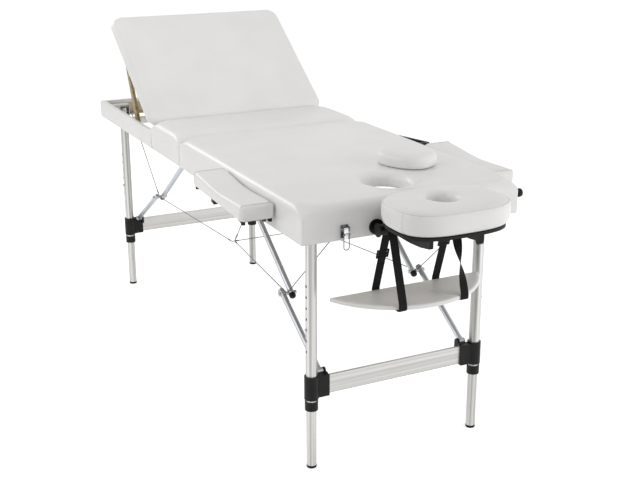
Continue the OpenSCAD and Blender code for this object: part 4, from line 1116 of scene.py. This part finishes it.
elbow_right = np.array([CABLE_X, *ELBOW])
front_wires, rear_wires, hung_wires = [], [], wire(CROSS_END, CROSS_END * MIRROR_X)
for side in (np.ones(3), MIRROR_X):
    front_wires += wire(elbow_right * side, EYE * side, ELBOW_CLEAR)
    front_wires += wire(elbow_right * side, JUNCTION * side, ELBOW_CLEAR)
    rear_wires += wire(elbow_right * side * MIRROR_Y, EYE * side * MIRROR_Y, ELBOW_CLEAR)
    rear_wires += wire(elbow_right * side * MIRROR_Y, REAR_END * side, ELBOW_CLEAR)
    hung_wires += wire(JUNCTION * side, HANGER * side)
for name, wires, body, joint in (("front_cables", front_wires, "front_half", "front_leg_fold"),
                                 ("rear_cables", rear_wires, "rear_half", "rear_leg_fold"),
                                 ("hung_cables", hung_wires, "front_half", "fold_first")):
    cable = piece(name, wires, wire_steel, body)
    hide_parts("cables")
    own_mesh(cable)

# %% [markdown]
# A round plastic knob stands on the right side near the head end. Its flange is in the CAD. The grip
# could be a cylinder with grooves cut into it. As a turned profile, whose radius dips a little at each
# flute, it stays one smooth surface.

# %% Side knob
KNOB_AT = (346.9, -904.0, 750.0)
KNOB_OUT = np.array([0.0, 0.0, 3.0, 5.0, 6.2, 8.0, 12.0, 16.0, 18.6, 20.4, 21.2, 21.6, 21.7])
KNOB_RADII = np.array([0.01, 8.5, 8.2, 9.5, 11.6, 12.6, 12.8, 12.8, 12.2, 10.5, 8.0, 4.0, 0.01])
GRIP_RISE, GRIP_FALL = (5.0, 8.0), (18.0, 21.0)
FLUTES = 9
FLUTE_DEEP = 0.09
KNOB_N = 90
KNOB_SHARP = 50

knob_turns = np.linspace(0, 2 * np.pi, KNOB_N, endpoint=False)
grip = smooth(KNOB_OUT, *GRIP_RISE) * (1 - smooth(KNOB_OUT, *GRIP_FALL))
dips = grip[:, None] * FLUTE_DEEP * (0.5 + 0.5 * np.cos(FLUTES * knob_turns)) ** 3
radii = KNOB_RADII[:, None] * (1 - dips)
along = np.broadcast_to(KNOB_OUT[:, None], radii.shape)
knob_grid = np.stack([along, radii * np.cos(knob_turns), radii * np.sin(knob_turns)], axis=-1) + KNOB_AT
side_knob = piece("side_knob", [shell(knob_grid)], black_plastic, "front_half", sharp=KNOB_SHARP)

# %% [markdown]
# Plain studio light: a white surround and four soft lamps. A picture of a studio could light the table
# too, but lamps can be set one by one. The large one on the left and the one at the front right light
# the sides. A small one behind puts a highlight on the near edges, and one overhead lifts the seat.

# %% Surround and lamps
AMBIENT = 0.5
WHITE = (1.0, 1.0, 1.0, 1.0)


def seen_light(tree, unseen, seen):
    """A strength that is seen for rays from the camera, mirrors and glass, and unseen for all others."""
    ray = add(tree, "ShaderNodeLightPath").outputs
    looks = ray["Is Camera Ray"]
    for other in ("Is Glossy Ray", "Is Transmission Ray"):
        looks = add(tree, "ShaderNodeMath", {0: looks, 1: ray[other]}, operation="MAXIMUM").outputs[0]
    return add(tree, "ShaderNodeMapRange", {"Value": looks, "To Min": unseen, "To Max": seen}).outputs[0]


def lamp(name, at, towards, size, power, glare=True):
    """A square area lamp at a point, facing another. Without glare it lights, but isn't mirrored."""
    data = bpy.data.lights.new(name, "AREA")
    data.size = size
    data.energy = power
    made = put(name, data)
    made.location = at
    made.visible_glossy = glare
    aim = np.array(towards) - np.array(at)
    made.rotation_euler = (np.arccos(-aim[2] / np.linalg.norm(aim)), 0.0, np.arctan2(-aim[0], aim[1]))
    print(name, power, "W")


world = bpy.data.worlds.new("surround")
world.use_nodes = True
bpy.context.scene.world = world
add(world.node_tree, "Background", {"Color": WHITE, "Strength": seen_light(world.node_tree, AMBIENT, 1.0)})
lamp("key_left", at=(-3.4, -0.4, 2.3), towards=(0.0, 0.0, 0.7), size=2.2, power=28.0)
lamp("right_fill", at=(3.2, -3.6, 1.5), towards=(0.0, -0.8, 0.7), size=2.8, power=85.0, glare=False)
lamp("rear_edge", at=(-1.9, 3.8, 2.5), towards=(-0.3, 0.0, 0.8), size=1.0, power=28.0)
lamp("high_soft", at=(-0.3, 0.1, 2.6), towards=(0.0, 0.8, 0.9), size=1.0, power=5.0, glare=False)

# %% [markdown]
# The floor is a wide sheet of white paper. A brighter lamp would whiten it, and the table too. Instead
# it adds a little light of its own for the camera and for reflections, so it reads as white and keeps
# the shadow.

# %% Floor
FLOOR_HALF = 30.0
PAPER_SHINE = 0.55

white_paper, tree = blank("white_paper")
add(tree, "Principled BSDF", {"Base Color": linear("#F2F2F2"), "Roughness": 0.9, "Emission Color": WHITE,
                              "Emission Strength": seen_light(tree, 0.0, PAPER_SHINE)})
floor_mesh = bpy.data.meshes.new("floor")
floor_corners = np.array([(-1, -1, 0), (1, -1, 0), (1, 1, 0), (-1, 1, 0)]) * FLOOR_HALF
floor_mesh.from_pydata(floor_corners.tolist(), [], [(0, 1, 2, 3)])
floor_mesh.materials.append(white_paper)
floor = put("floor", floor_mesh)
print("floor of", 2 * FLOOR_HALF, "m")
